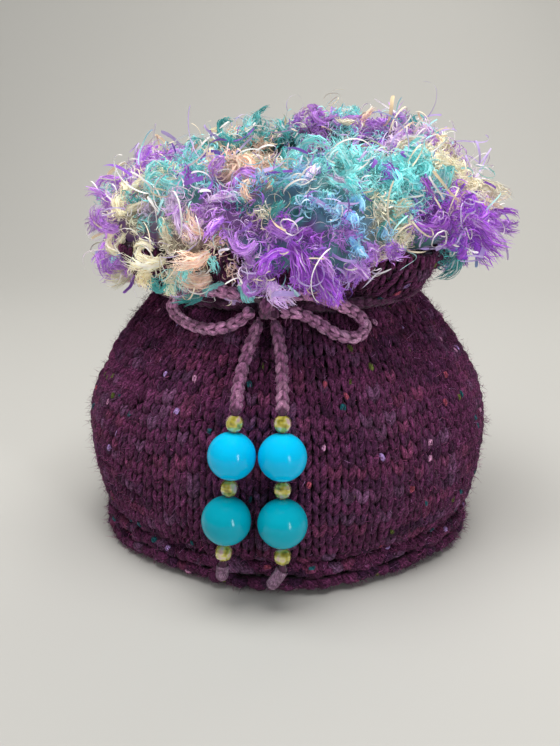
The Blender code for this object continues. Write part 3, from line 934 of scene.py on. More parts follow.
# %% Tweed flecks
def add_flecks(name, paths, normals, widths, share):
    """Flecks on a share of a panel's stitch legs."""
    picked = rng.choice(len(paths), size=int(share * len(paths)), replace=False)
    start = rng.integers(1, 3, len(picked))
    steps = np.arange(5)
    chosen = paths[picked[:, None], start[:, None] + steps]
    facing = normals[picked[:, None], start[:, None] + steps]
    aside = rng.normal(0, 0.3, (len(picked), 1, 3))
    lifted = chosen + facing * 0.45 + aside * 0.5
    half = widths[picked] * rng.uniform(0.6, 1.15, len(picked))
    tones = choose(FLECKS, len(picked))
    return gather(name, [lay(FLECK, lifted, facing, half, half * 0.8, tones)], plum_wool)


front_flecks = add_flecks("front_flecks", front_paths, front_normals, front_widths, 0.045)
back_flecks = add_flecks("back_flecks", back_paths, back_normals, back_widths, 0.05)

# %% [markdown]
# ## The garter hem
# Garter stitch makes rows of short level bumps. Each row is half a stitch out
# of step with the next and bends the other way. Of the five rows here, the
# lowest and the highest lie deeper.

# %% Hem bumps
Ridge = namedtuple("Ridge", "height lift bend offset")
RIDGES = [
    Ridge(2.4, 0.2, 1.1, 0.0),
    Ridge(5.0, 1.2, -0.9, 0.5),
    Ridge(6.9, 1.0, 0.8, 0.0),
    Ridge(9.3, 1.4, -1.0, 0.5),
    Ridge(11.6, -0.2, 0.8, 0.0),
]
RIDGE_REACH = 1.0
HEM_HALF = 2.15
HEM_FLECKS = 22
HEM_HAIRS = 5000


def hem_bumps(name, middle):
    """A panel's five rows of hem bumps, with their flecks and hairs."""
    wide = math.pi / PANEL_COLUMNS
    t = np.linspace(-1, 1, LEG_POINTS)[None]
    batches, tops, facings = [], [], []
    for k, ridge in enumerate(RIDGES):
        column = np.arange(PANEL_COLUMNS)[:, None]
        across = column + 0.5 + ridge.offset + t * 0.62 + rng.normal(0, 0.09, column.shape)
        turn = -math.pi / 2 + across * wide
        turn = np.clip(turn, -math.pi / 2 + 0.008, math.pi / 2 - 0.008)
        wander = 0.45 * np.sin(9 * turn + k) + 0.3 * np.sin(17 * turn + 2 * k)
        height = ridge.height + ridge.bend * (1 - t**2) - 0.3 * abs(ridge.bend) + wander
        length = length_of(np.clip(height + rng.normal(0, 0.4, column.shape), 0.9, 14))
        point, normal = cloth_frame(turn + middle, length)
        lift = ridge.lift + RIDGE_REACH * (1 - t**2) - 1.0 + rng.normal(0, 0.35, column.shape)
        path = point + normal * np.broadcast_to(lift, turn.shape)[..., None]
        half = rng.normal(HEM_HALF, 0.16, PANEL_COLUMNS)
        path[..., 2] = np.maximum(path[..., 2], half[:, None])
        batches.append(lay(LEG, path, normal, half, half * 0.95, shade_of_yarn(PANEL_COLUMNS) * 0.85))
        tops.append(path + normal * half[:, None, None] * 0.8)
        facings.append(normal)
    tops, facings = np.concatenate(tops), np.concatenate(facings)
    picked = rng.choice(len(tops), HEM_FLECKS, replace=False)
    thick = rng.uniform(0.8, 1.3, HEM_FLECKS)
    tones = choose(FLECKS, HEM_FLECKS)
    batches.append(lay(FLECK, tops[picked, 2:7], facings[picked, 2:7], thick, thick * 0.6, tones))
    hairy, step = rng.integers(0, len(tops), HEM_HAIRS), rng.integers(1, LEG_POINTS - 1, HEM_HAIRS)
    # Painted sheen: the hairs are painted up to about three times lighter than the yarn, for the light that
    # fine hairs catch.
    colours = shade_of_yarn(HEM_HAIRS) * rng.uniform(0.9, 3.2, (HEM_HAIRS, 1))
    start = tops[hairy, step] + rng.normal(0, 0.5, (HEM_HAIRS, 3))
    start[:, 2] = np.maximum(start[:, 2], 0.6)
    batches.append(hairs_near(start, facings[hairy, step], (1.0, 2.8), 0.08, colours, 1.3))
    return gather(name, batches, plum_wool)


front_hem = hem_bumps("front_hem", 0.0)
back_hem = hem_bumps("back_hem", math.pi)

# %% [markdown]
# Below and above each slit the two panels are sewn edge to edge with their own
# yarn. Slanted stitches, one above the other, cross from one edge to the other,
# outside and inside, so that no light comes through the seam.

# %% Sewing of the side seams
SEAM_STEP = 2.2
SEAM_REACH = 0.022
SEAM_HALF = 1.15


def sewn_along(turn, low, high, depth, lean):
    """Slanted stitches up a side seam, at a depth under the cloth's outside."""
    starts = np.arange(low, high, SEAM_STEP)[:, None]
    t = np.linspace(0, 1, LEG_POINTS)[None]
    length = np.clip(starts + 3.4 * t, 0, profile_length[-1] - 0.5)
    point, normal = cloth_frame(turn + lean * SEAM_REACH * (2 * t - 1) + 0 * length, length)
    path = point - normal * depth
    half = rng.normal(SEAM_HALF, 0.07, len(starts))
    path[..., 2] = np.maximum(path[..., 2], half[:, None])
    return lay(LEG, path, normal, half, half, shade_of_yarn(len(starts)) * 0.85)


seam_batches = []
for turn, slit in ((-math.pi / 2, LEFT_SLIT), (math.pi / 2, RIGHT_SLIT)):
    for low, high in ((1.0, slit.low - 3.0), (slit.high + 1.5, profile_length[-1] - 4.0)):
        seam_batches.append(sewn_along(turn, low, high, 1.3, 1))
        seam_batches.append(sewn_along(turn, low, high, 2.9, -1))
gather("side_seams", seam_batches, plum_wool)

# %% [markdown]
# ## The cord
# One cord draws the neck in. It is knitted as a narrow tube, so V stitches run
# along it on all sides. Its route is the same as that of the solids: round
# the neck, into the knot, out as two loops, and down as two tails through the
# beads. The length of each free part is printed.

# %% The cord's route
CORD_HALF = 2.2
CORD_GAP = 0.3
Lay = namedtuple("Lay", "across height off")
LOOP_LEFT = [
    Lay(-13.0, 99.6, 0.6), Lay(-20.0, 102.2, 1.6), Lay(-29.0, 102.4, 1.2), Lay(-37.5, 99.2, 1.0),
    Lay(-42.0, 93.8, 1.0), Lay(-37.5, 89.8, 1.0), Lay(-28.0, 88.4, 1.0), Lay(-19.0, 90.6, 0.6),
    Lay(-13.0, 95.4, 0.6),
]
LOOP_RIGHT = [
    Lay(-2.2, 99.6, 0.6), Lay(3.5, 102.2, 1.4), Lay(10.0, 100.9, 1.0), Lay(17.5, 97.4, 1.0),
    Lay(24.0, 93.4, 1.0), Lay(26.8, 89.4, 1.0), Lay(23.2, 86.4, 1.0), Lay(16.0, 88.0, 1.0),
    Lay(9.4, 91.8, 1.0), Lay(3.6, 94.8, 0.6), Lay(-2.2, 95.4, 0.6),
]
TAIL_TOP = {
    "left": [Lay(-10.4, 91.5, 0.8), Lay(-11.8, 88.2, 1.4), Lay(-14.2, 82.4, 3.0), Lay(-16.4, 75.4, 6.0)],
    "right": [Lay(-4.8, 91.5, 0.8), Lay(-3.8, 88.2, 1.4), Lay(-2.6, 82.4, 3.0), Lay(-2.2, 75.4, 6.0)],
}
TAIL_END = {
    "left": [(-22.2, -88.2, 14.0), (-22.6, -87.8, 10.4)],
    "right": [(-3.8, -91.5, 13.4), (-6.6, -91.6, 9.6)],
}
KNOT = np.array([-7.6, -56.7, 97.5])


def clear_of_wall(height, distance):
    """The least radius at which a point at this height stays a distance off the gathers."""
    rise = distance * np.arange(-8, 9) / 8
    level = height + rise
    folds = pleat_at(level) + wave_at(level)
    return float(np.max(radius_at(level) + folds + np.sqrt(distance**2 - rise**2)))


def lay_cord(place):
    """The point where a cord that lies on the front of the body has its middle."""
    radius = clear_of_wall(place.height, CORD_HALF + CORD_GAP)
    drawn = clear_of_wall(NECK_HEIGHT, CORD_HALF + CORD_GAP)
    apart, rise = 2 * CORD_HALF + CORD_GAP, abs(place.height - NECK_HEIGHT)
    if rise < apart:
        radius = max(radius, drawn + math.sqrt(apart**2 - rise**2))
    radius += place.off
    return np.array([place.across, -math.sqrt(radius**2 - place.across**2), place.height])


def run_along(route):
    """The distance from a route's start to each of its points."""
    return np.concatenate([[0], np.cumsum(np.linalg.norm(np.diff(route, axis=0), axis=1))])


def read_off(distance, run, parts):
    """Values that go with a route's points, at distances along the route."""
    return [np.stack([np.interp(distance, run, part[:, k]) for k in range(3)], axis=-1) for part in parts]


def smooth_route(points, spacing):
    """Points spaced evenly along a smooth curve through a route's own points."""
    points = np.asarray(points, float)
    padded = np.vstack([points[:1], points, points[-1:]])
    t = np.linspace(0, 1, 20, endpoint=False)[:, None]
    fine = []
    for i in range(len(points) - 1):
        before, a, b, after = padded[i : i + 4]
        fine.append(
            0.5 * (2 * a + (b - before) * t + (2 * before - 5 * a + 4 * b - after) * t**2
                   + (3 * a - before - 3 * b + after) * t**3)
        )
    fine = np.vstack([*fine, points[-1:]])
    run = run_along(fine)
    count = max(2, round(run[-1] / spacing))
    return read_off(np.linspace(0, run[-1], count + 1), run, [fine])[0]


def route_length(route):
    return float(np.linalg.norm(np.diff(route, axis=0), axis=1).sum())


# %% [markdown]
# ## The beads
# Each string has a gold bead, a sky-blue one, a gold one, a teal one and a
# gold one. A large bead starts as a sphere. Its poles are cut off, the two
# holes are bridged into a bore, and the mouths of the bore are rounded. The
# gold beads are faceted, so their sphere has few faces and stays sharp.

# %% Where the beads hang
Bead = namedtuple("Bead", "kind radius")
STRING = [
    Bead("gold_top", 3.0), Bead("blue", 8.0), Bead("gold_middle", 3.0), Bead("teal", 8.3),
    Bead("gold_low", 3.0),
]
BORE = 1.35
Hang = namedtuple("Hang", "side top_x low_x top_y low_y top")
STRINGS = [Hang("left", -17.7, -21.7, -84.4, -88.0, 64.6), Hang("right", -2.2, -2.2, -85.4, -91.2, 64.8)]


def half_height(radius):
    """Half of a bead's height between the mouths of its bore."""
    return math.sqrt(radius**2 - BORE**2)


def bead_centres(hang):
    """The centres of a string's beads, from the top down."""
    heights, height = [], hang.top
    for k, bead in enumerate(STRING):
        if k:
            height -= half_height(STRING[k - 1].radius) + CORD_GAP + half_height(bead.radius)
        heights.append(height)
    high = np.array([hang.top_x, hang.top_y, heights[0]])
    low = np.array([hang.low_x, hang.low_y, heights[-1]])
    share = (heights[0] - np.array(heights)) / (heights[0] - heights[-1])
    return high + (low - high) * share[:, None]


def string_axis(hang):
    """The way up a string, through its beads."""
    centres = bead_centres(hang)
    return (centres[0] - centres[-1]) / np.linalg.norm(centres[0] - centres[-1])


# %% Bead finishes
def gloss_finish(name, colour, deep):
    """A polished opaque bead, a little deeper in colour in cloudy places."""
    made, tree, shader = new_finish(name, {
        "Roughness": 0.13, "Specular IOR Level": 0.22, "Coat Weight": 0.06, "Coat Roughness": 0.04,
        "Subsurface Weight": 0.15, "Subsurface Radius": (0.002, 0.003, 0.004), "Subsurface Scale": 1.0,
    })
    clouds = add(tree, "ShaderNodeGroup", node_tree=CLOUDS, colour=(*colour, 1), scale=60.0,
                 darkest=deep, lightest=1.05)
    tree.links.new(clouds.outputs["Colour"], shader.inputs["Base Color"])
    return made


def cut_glass_finish():
    """A clear yellow bead with a thin bright film, which turns green and rose at a slant."""
    made, tree, shader = new_finish("gold_glass", {
        "Base Color": (0.80, 0.72, 0.16, 1), "Roughness": 0.08, "Metallic": 0.25,
        "Transmission Weight": 0.35, "IOR": 1.55, "Coat Weight": 1.0, "Coat Roughness": 0.02,
        "Thin Film Thickness": 480.0, "Thin Film IOR": 1.6,
    })
    place = add(tree, "ShaderNodeTexCoord")
    noise = add(tree, "ShaderNodeTexNoise", scale=420.0, detail=1.0)
    tree.links.new(place.outputs["Object"], noise.inputs["Vector"])
    # Patches by noise from dark olive through yellow to pale yellow and rose; the pale and rose patches are
    # painted iridescent glints.
    ramp = add(tree, "ShaderNodeValToRGB")
    stops = ramp.color_ramp.elements
    stops[0].position, stops[0].color = 0.30, (0.30, 0.27, 0.02, 1)
    stops[1].position, stops[1].color = 0.66, (0.95, 0.66, 0.66, 1)
    stops.new(0.45).color = (0.75, 0.66, 0.08, 1)
    stops.new(0.56).color = (0.92, 0.86, 0.40, 1)
    tree.links.new(noise.outputs["Fac"], ramp.inputs["Fac"])
    tree.links.new(ramp.outputs["Color"], shader.inputs["Base Color"])
    return made


BEAD_FINISH = {
    "gold": cut_glass_finish(),
    "blue": gloss_finish("sky_blue_gloss", (0.0, 0.56, 0.94), 0.92),
    "teal": gloss_finish("teal_gloss", (0.0, 0.42, 0.56), 0.9),
}


# %% Modelling a bead
def make_bead(name, bead, centre, axis):
    """One bead, modelled upright and then turned on to its string."""
    large = bead.radius > 5
    segments, rings = (48, 28) if large else (9, 7)
    deselect()
    bpy.ops.mesh.primitive_uv_sphere_add(segments=segments, ring_count=rings, radius=bead.radius * MM)
    made = bpy.context.object
    made.name = name.replace("bead_", "cut_")
    mouth = half_height(bead.radius) * MM
    bpy.ops.object.mode_set(mode="EDIT")
    for end in (1, -1):
        bpy.ops.mesh.select_all(action="SELECT")
        bpy.ops.mesh.bisect(
            plane_co=(0, 0, end * mouth), plane_no=(0, 0, end), clear_outer=True, use_fill=False
        )
    pick(made, "EDGE", lambda e: e.is_boundary)
    bpy.ops.mesh.bridge_edge_loops()
    if large:
        pick(made, "EDGE", lambda e: all(abs(abs(v.co.z) - mouth) < 1e-6 for v in e.verts)
             and abs(e.verts[0].co.z - e.verts[1].co.z) < 1e-6)
        bpy.ops.mesh.bevel(offset=0.35 * MM, segments=3, affect="EDGES")
    bpy.ops.mesh.select_all(action="SELECT")
    bpy.ops.mesh.normals_make_consistent(inside=False)
    bpy.ops.object.mode_set(mode="OBJECT")
    if large:
        only(made)
        bpy.ops.object.shade_smooth_by_angle(angle=math.radians(40))
    made.rotation_mode = "QUATERNION"
    made.rotation_quaternion = Vector((0, 0, 1)).rotation_difference(Vector(axis))
    made.location = Vector(centre * MM)
    settle(made)
    family = bead.kind.split("_")[0]
    dress(made, BEAD_FINISH[family])
    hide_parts(name)
    return made


for hang in STRINGS:
    for bead, centre in zip(STRING, bead_centres(hang)):
        node = f"bead_{bead.kind}_{hang.side}"
        make_bead(node, bead, centre, string_axis(hang))

# %% [markdown]
# A cord is laid in two parts. A plain round core gives it its place and its
# length, and is painted dark as the shade between the stitches. Round the core
# run three columns of small V stitches. The core is bare and thin only where it
# passes through the beads.

# %% Core of a cord
CORE_SHARE = 0.76
CORD_COLUMNS = 3
CORD_ROW = 3.7
CORD_LEG = 0.92
FUZZ_PER_MM = 5.0
CORD_SHADES = [
    Tweed((0.265, 0.110, 0.210), 0.4),
    Tweed((0.215, 0.080, 0.165), 0.4),
    Tweed((0.340, 0.160, 0.265), 0.2),
]


def cord_core_finish():
    """The core under a cord's stitches, painted dark as the shade between them."""
    made, tree, shader = new_finish("cord_core", {"Roughness": 0.95, "Sheen Weight": 0.3})
    # Painted shade: a dark plum, about a third as light as the cord's stitches.
    clouds = add(tree, "ShaderNodeGroup", node_tree=CLOUDS, colour=(0.09, 0.03, 0.07, 1), scale=900.0)
    tree.links.new(clouds.outputs["Colour"], shader.inputs["Base Color"])
    return made


cord_core = cord_core_finish()


def core_curve(name, route, shares):
    """A round core as a curve of one open spline through the route's points."""
    data = bpy.data.curves.new(name, "CURVE")
    data.dimensions = "3D"
    data.bevel_depth = CORD_HALF * CORE_SHARE * MM
    data.bevel_resolution = 3
    data.use_fill_caps = True
    spline = data.splines.new("POLY")
    spline.points.add(len(route) - 1)
    for point, place, share in zip(spline.points, route, shares):
        point.co = (*(place * MM), 1)
        point.radius = share
    made = bpy.data.objects.new(name, data)
    bpy.context.scene.collection.objects.link(made)
    data.materials.append(cord_core)
    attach(made, "root")
    return made


# %% Stitches and fuzz of a cord
def outward_frame(route):
    """At each point of a route: the way out from the body, and the way across."""
    tangent = unit(np.gradient(route, axis=0))
    out = route * np.array([1, 1, 0])
    out = unit(out - tangent * np.sum(out * tangent, axis=1, keepdims=True))
    return out, np.cross(tangent, out)


def along_route(route, distance):
    """The points at distances along a route, with the way out and the way across."""
    middle, out, across = read_off(distance, run_along(route), (route, *outward_frame(route)))
    return middle, unit(out), unit(across)


# Painted light: the bow's loops are the same cord as the tails, painted about twice as light for the light
# that falls on them from the front.
LOOP_PAINTED_LIGHT = [
    Tweed((0.54, 0.25, 0.43), 0.5), Tweed((0.42, 0.18, 0.33), 0.3), Tweed((0.64, 0.34, 0.53), 0.2),
]


def leg_reach(t):
    """How far a leg's middle line stands off the cord's own, from its root to its tip."""
    return 0.75 + 0.75 * np.sin(math.pi * np.clip(0.08 + 0.86 * t, 0, 1)) ** 0.7


def cord_stitches(route, shades=CORD_SHADES):
    """The V stitches of a cord as batches of laid strands."""
    total = route_length(route)
    rows = max(2, int(total / CORD_ROW))
    t = np.linspace(0, 1, LEG_POINTS)[None]
    row = np.repeat(np.arange(rows), CORD_COLUMNS)
    column = np.tile(np.arange(CORD_COLUMNS), rows)
    batches = []
    for side in (-1, 1):
        count = len(row)
        jitter = rng.normal(0, 0.05, (count, 1))
        distance = (row[:, None] + 0.5 - 0.35 + 1.3 * t + jitter) * total / rows
        distance = np.clip(distance, 0, total)
        turn = (column[:, None] + side * (0.08 + 0.35 * ease(t))) * 2 * math.pi / CORD_COLUMNS
        turn = turn + 0.12 * np.sin(distance / 6) + rng.normal(0, 0.05, (count, 1))
        middle, out, across = along_route(route, distance)
        away = out * np.cos(turn)[..., None] + across * np.sin(turn)[..., None]
        path = middle + away * np.broadcast_to(leg_reach(t), turn.shape)[..., None]
        half = CORD_LEG * rng.normal(1, 0.06, count)
        batches.append(lay(LEG, path, away, half, half * 0.9, choose(shades, count)))
    return batches


def cord_fuzz(route):
    """Short hairs all round a cord."""
    count = int(route_length(route) * FUZZ_PER_MM)
    distance = rng.uniform(0, route_length(route), (count, 1))
    middle, out, across = along_route(route, distance)
    turn = rng.uniform(0, 2 * math.pi, count)[:, None]
    away = out[:, 0] * np.cos(turn) + across[:, 0] * np.sin(turn)
    # Painted sheen: the hairs are painted 1.6 times lighter than the cord, for the light that fine hairs
    # catch.
    colours = choose(CORD_SHADES, count) * 1.6
    return [hairs_near(middle[:, 0] + away * 1.9, away, (0.8, 2.4), 0.05, colours)]


# %% The cord round the neck, and its knot
drawn_radius = clear_of_wall(NECK_HEIGHT, CORD_HALF + CORD_GAP)
knot_angle = math.atan2(KNOT[0], -KNOT[1])
KNOT_HALF = 5.0
around = np.linspace(0, 1, 120) * (2 * math.pi - 2 * (KNOT_HALF - 1.5) / drawn_radius)
around = knot_angle + (KNOT_HALF - 1.5) / drawn_radius + around
neck_route = np.stack(
    [drawn_radius * np.sin(around), -drawn_radius * np.cos(around), np.full(120, NECK_HEIGHT)], axis=1
)
neck_route[:, :2] *= (drawn_radius - 1.0) / drawn_radius
neck_core = core_curve("neck_cord_core", neck_route, [1.0] * len(neck_route))
# Painted shade: the cord round the neck lies in the gathers under the ruffle, so its stitches are painted
# darker than the same cord in the bow.
NECK_PAINTED_SHADE = [Tweed((0.10, 0.030, 0.075), 0.6), Tweed((0.13, 0.045, 0.100), 0.4)]
gather("neck_cord", cord_stitches(neck_route, NECK_PAINTED_SHADE), cord_wool)
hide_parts("drawstring")

wrap = np.linspace(0, 1, 40)
wrap_turn = wrap * 2 * math.pi * 1.7 + 0.6
wrap_across = (wrap - 0.5) * 5.0
wrap_route = np.stack(
    [wrap_across, -2.5 * np.cos(wrap_turn), 3.0 * np.sin(wrap_turn)], axis=1
)
turn_knot = np.array(Matrix.Rotation(knot_angle, 3, "Z"))
wrap_route = wrap_route @ turn_knot.T + KNOT
core_curve("knot_core", wrap_route, [1.0] * len(wrap_route))


def wrap_stitches(route, centre):
    """Stitches of a cord that winds round a centre, facing away from it."""
    total = route_length(route)
    rows = int(total / CORD_ROW)
    tangent = unit(np.gradient(route, axis=0))
    out = route - centre
    out = unit(out - tangent * np.sum(out * tangent, axis=1, keepdims=True))
    across = np.cross(tangent, out)
    t = np.linspace(0, 1, LEG_POINTS)[None]
    row = np.repeat(np.arange(rows), CORD_COLUMNS)
    column = np.tile(np.arange(CORD_COLUMNS), rows)
    batches = []
    for side in (-1, 1):
        distance = np.clip((row[:, None] + 0.15 + 1.3 * t) * total / rows, 0, total)
        turn = (column[:, None] + side * (0.08 + 0.35 * ease(t))) * 2 * math.pi / CORD_COLUMNS
        middle, outward, aside = read_off(distance, run_along(route), (route, out, across))
        away = outward * np.cos(turn)[..., None] + aside * np.sin(turn)[..., None]
        path = middle + away * np.broadcast_to(leg_reach(t), turn.shape)[..., None]
        half = CORD_LEG * rng.normal(1, 0.06, len(row))
        batches.append(lay(LEG, path, away, half, half * 0.9, choose(CORD_SHADES, len(row))))
    return batches


bow_wrap = gather("bow_wrap", wrap_stitches(wrap_route, KNOT), cord_wool)
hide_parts("bow_knot")

# %% The bow's loops
for side, places in (("left", LOOP_LEFT), ("right", LOOP_RIGHT)):
    route = smooth_route([lay_cord(place) for place in places], 2.2)
    core = core_curve(f"loop_core_{side}", route, [1.0] * len(route))
    batches = cord_stitches(route, LOOP_PAINTED_LIGHT) + cord_fuzz(route)
    cover = gather(f"loop_stitches_{side}", batches, cord_wool)
    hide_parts(f"bow_loop_{side}")
    print(f"loop {side}: {route_length(route):.0f} mm of cord")

# %% [markdown]
# Each tail leaves the knot, lies on the body, and hangs free from the height
# of the first bead. Below the last bead it shows once more as a short stub,
# closed over with fibres that lie along it.

# %% The tails through the beads
TUFT = [Tweed((0.30, 0.17, 0.27), 0.5), Tweed((0.22, 0.11, 0.19), 0.3), Tweed((0.38, 0.25, 0.35), 0.2)]
CORE_HALF = 0.95


def tail_routes(hang):
    """The tail's upper part, its part in the beads, and its tip."""
    centres, axis = bead_centres(hang), string_axis(hang)
    above = centres[0] + axis * (half_height(3.0) + CORD_GAP)
    below = centres[-1] - axis * (half_height(3.0) + CORD_GAP)
    top = smooth_route([lay_cord(place) for place in TAIL_TOP[hang.side]] + [above + axis * 1.4], 2.2)
    inside = above + (below - above) * np.linspace(0, 1, 24)[:, None]
    end = smooth_route([below - axis * 1.4] + [np.array(p) for p in TAIL_END[hang.side]], 2.2)
    return top, inside, end


def felted(route, count):
    """Fibres that lie along a cord and close over its rounded end."""
    total = route_length(route)
    first = rng.uniform(-0.6, total - 0.4, (count, 1))
    distance = first + np.linspace(0, 1, 5)[None] * rng.uniform(1.2, 2.8, (count, 1))
    middle, out, across = along_route(route, np.clip(distance, 0, total))
    turn = rng.uniform(0, 2 * math.pi, (count, 1)) + rng.normal(0, 0.5, (count, 1)) * np.linspace(0, 1, 5)
    away = out * np.cos(turn)[..., None] + across * np.sin(turn)[..., None]
    past = np.clip((distance - total + 1.8) / 1.9, 0, 1)
    rounded = np.sqrt(np.maximum(1 - past**2, 0.01)) * rng.uniform(1.7, 2.15, (count, 1))
    path = middle + away * rounded[..., None]
    half = rng.uniform(0.09, 0.2, count)
    return lay(HAIR, path, away, half, half, choose(TUFT, count))


for hang in STRINGS:
    top, inside, end = tail_routes(hang)
    whole = np.vstack([top, inside, end])
    thin = CORE_HALF / (CORD_HALF * CORE_SHARE)
    shares = [1.0] * len(top) + [thin] * len(inside) + [0.95] * (len(end) - 1) + [0.6]
    core = core_curve(f"tail_core_{hang.side}", whole, shares)
    batches = cord_stitches(top) + cord_fuzz(top)
    cover = gather(f"tail_stitches_{hang.side}", batches, cord_wool)
    tuft = gather(f"tail_tip_{hang.side}", [felted(end, 1500)], cord_wool)
    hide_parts(f"tail_{hang.side}")
    print(f"tail {hang.side}: {route_length(whole):.0f} mm of cord")

# %% [markdown]
# ## Fuzz on the panels
# Wool yarn is hairy. Thousands of short fine hairs lie over the stitches and
# soften the outline against the light.

# %% Fuzz of the panels
PANEL_HAIRS = 14000


def panel_fuzz(name, paths, normals, count):
    """Short hairs all over a panel's stitches."""
    picked = rng.integers(0, len(paths), count)
    step = rng.integers(1, LEG_POINTS - 1, count)
    points, facing = paths[picked, step], normals[picked, step]
    points = points + facing * 1.0 + rng.normal(0, 0.5, (count, 3))
    # Painted sheen: the hairs are painted up to about three times lighter than the yarn, for the light that
    # fine hairs catch.
    colours = shade_of_yarn(count) * rng.uniform(0.9, 3.4, (count, 1))
    batches = [hairs_near(points, facing, (1.0, 3.6), 0.07, colours, 1.3)]
    return gather(name, batches, plum_wool)


front_fuzz = panel_fuzz("front_fuzz", front_paths, front_normals, PANEL_HAIRS)
back_fuzz = panel_fuzz("back_fuzz", back_paths, back_normals, PANEL_HAIRS)

# %% [markdown]
# ## The ruffle
# The ruffle is knitted from shaggy fancy yarn, a thin core with cut ribbons
# and soft fibres standing out of it, dyed in patches of purple, turquoise,
# cream and peach. It is made here in layers: a ground of fine curled fluff,
# locks whose fibres lie together and curl, and combed tufts that hang over
# the edge. Most of them take the colour of the nearest patch of dye. Over them
# run shiny threads and ribbons, most of them white or lilac.

# %% Colours of the ruffle
FRILL = {
    "purple": (0.58, 0.28, 0.78),
    "vivid": (0.46, 0.13, 0.74),
    "lilac": (0.86, 0.68, 0.98),
    "blue": (0.36, 0.68, 0.94),
    "turquoise": (0.33, 0.86, 0.86),
    "teal": (0.10, 0.48, 0.48),
    "cream": (1.00, 0.90, 0.68),
    "peach": (1.00, 0.70, 0.56),
}
Patch = namedtuple("Patch", "degrees over colour")
PATCHES = [
    Patch(-84, 88, "purple"), Patch(-76, 4, "purple"), Patch(-74, 44, "purple"), Patch(-64, -32, "purple"),
    Patch(-60, 36, "cream"), Patch(-54, -12, "cream"), Patch(-50, 4, "lilac"), Patch(-44, -20, "cream"),
    Patch(-40, 44, "turquoise"), Patch(-38, -48, "teal"), Patch(-34, 10, "lilac"), Patch(-26, -32, "peach"),
    Patch(-26, -64, "lilac"), Patch(-24, 56, "purple"), Patch(-18, 84, "peach"), Patch(-12, 4, "purple"),
    Patch(-8, 26, "teal"), Patch(-6, 60, "blue"), Patch(0, -12, "vivid"), Patch(4, -52, "vivid"),
    Patch(4, 100, "turquoise"), Patch(14, 12, "blue"), Patch(14, -28, "purple"), Patch(18, 60, "turquoise"),
    Patch(28, 2, "cream"), Patch(34, 30, "turquoise"), Patch(42, 66, "turquoise"), Patch(42, 20, "vivid"),
    Patch(58, -8, "vivid"), Patch(60, -48, "teal"), Patch(66, 60, "cream"), Patch(74, -16, "vivid"),
    Patch(76, 36, "cream"), Patch(82, 74, "purple"), Patch(92, 96, "purple"), Patch(96, 20, "purple"),
    Patch(104, 120, "lilac"), Patch(112, -20, "cream"), Patch(120, 50, "teal"), Patch(126, 10, "vivid"),
    Patch(134, 90, "purple"), Patch(142, -30, "purple"), Patch(152, 146, "turquoise"),
    Patch(156, 96, "turquoise"),
    Patch(158, 30, "teal"), Patch(168, 128, "purple"), Patch(172, -10, "lilac"), Patch(176, 70, "purple"),
    Patch(188, 110, "teal"), Patch(192, 20, "peach"), Patch(196, 134, "peach"), Patch(206, -30, "purple"),
    Patch(214, 70, "turquoise"), Patch(216, 112, "teal"), Patch(218, 142, "cream"), Patch(230, 10, "vivid"),
    Patch(236, 92, "teal"), Patch(246, -30, "cream"), Patch(250, 50, "purple"), Patch(262, 96, "purple"),
    Patch(264, 10, "turquoise"),
]
FRILL_RADIUS = 54.0
FRILL_SHIFT = 3.0
FRILL_HALF_WIDTH = 16.0
FRILL_HALF_HEIGHT = 16.5
FRILL_MIDDLE = 127.5
FRILL_SLOPE = 0.42
FRILL_BACK = math.radians(145)
FRILL_BACK_RISE = 15.0
FRILL_RIGHT_DROP = 3.0
FRILL_LEFT_DROP = 2.0
FRILL_HANG = 9.0
LIFTED = 42.0
FRILL_REACH, FRILL_REACH_RIGHT = 81.0, 4.0
FRILL_HOLE = 22.0
FRILL_TOP, FRILL_FOOT, FRILL_FOOT_LIFTED = 168, 99, 19


def on_frill(angle, around):
    """A point of the ruffle's ring and its outward normal.

    The ring is tall at the back, low at the sides, and hangs over the collar at the
    front left and at the back.
    """
    out = np.stack([np.sin(angle), -np.cos(angle), np.zeros_like(angle)], axis=-1)
    up = np.array([0.0, 0.0, 1.0])
    width = FRILL_HALF_WIDTH + 2.5 * np.sin(5 * angle + 1) + 1.5 * np.sin(9 * angle)
    back = (0.5 + 0.5 * np.cos(angle - FRILL_BACK)) ** 2.5
    right, left = np.maximum(np.sin(angle), 0) ** 4, np.maximum(-np.sin(angle), 0) ** 4
    rise = FRILL_BACK_RISE * back - FRILL_RIGHT_DROP * right - FRILL_LEFT_DROP * left
    hang = FRILL_HANG * np.exp(-((degrees_from(angle, -42) / 62) ** 4))
    hang = hang + 0.6 * FRILL_HANG * np.exp(-((degrees_from(angle, 170) / 75) ** 4))
    tall = FRILL_HALF_HEIGHT + 1.5 * np.sin(7 * angle)
    tall = tall + np.where(np.sin(around) > 0, rise, hang)
    radius = FRILL_RADIUS + width * np.cos(around)
    point = out * radius[..., None]
    point[..., 0] += FRILL_SHIFT
    droop = FRILL_SLOPE * np.maximum(radius - FRILL_RADIUS, 0) * (0.6 + 0.4 * np.sin(around))
    point[..., 2] = FRILL_MIDDLE + tall * np.sin(around) - droop
    normal = out * (np.cos(around) / width)[..., None] + up * (np.sin(around) / tall)[..., None]
    return point, unit(normal)


def along_ring(angle):
    """The way along the ring at each angle, to the right at the front."""
    return np.stack([np.cos(angle), np.sin(angle), np.zeros_like(angle)], axis=-1)


def patch_of(angle, around):
    """The nearest patch of dye at a place on the ring."""
    turns = degrees_from(angle[:, None], np.array([p.degrees for p in PATCHES])[None])
    overs = np.degrees(around)[:, None] - np.array([p.over for p in PATCHES])[None]
    return np.argmin(np.hypot(turns * 1.1, overs * 0.32), axis=1)


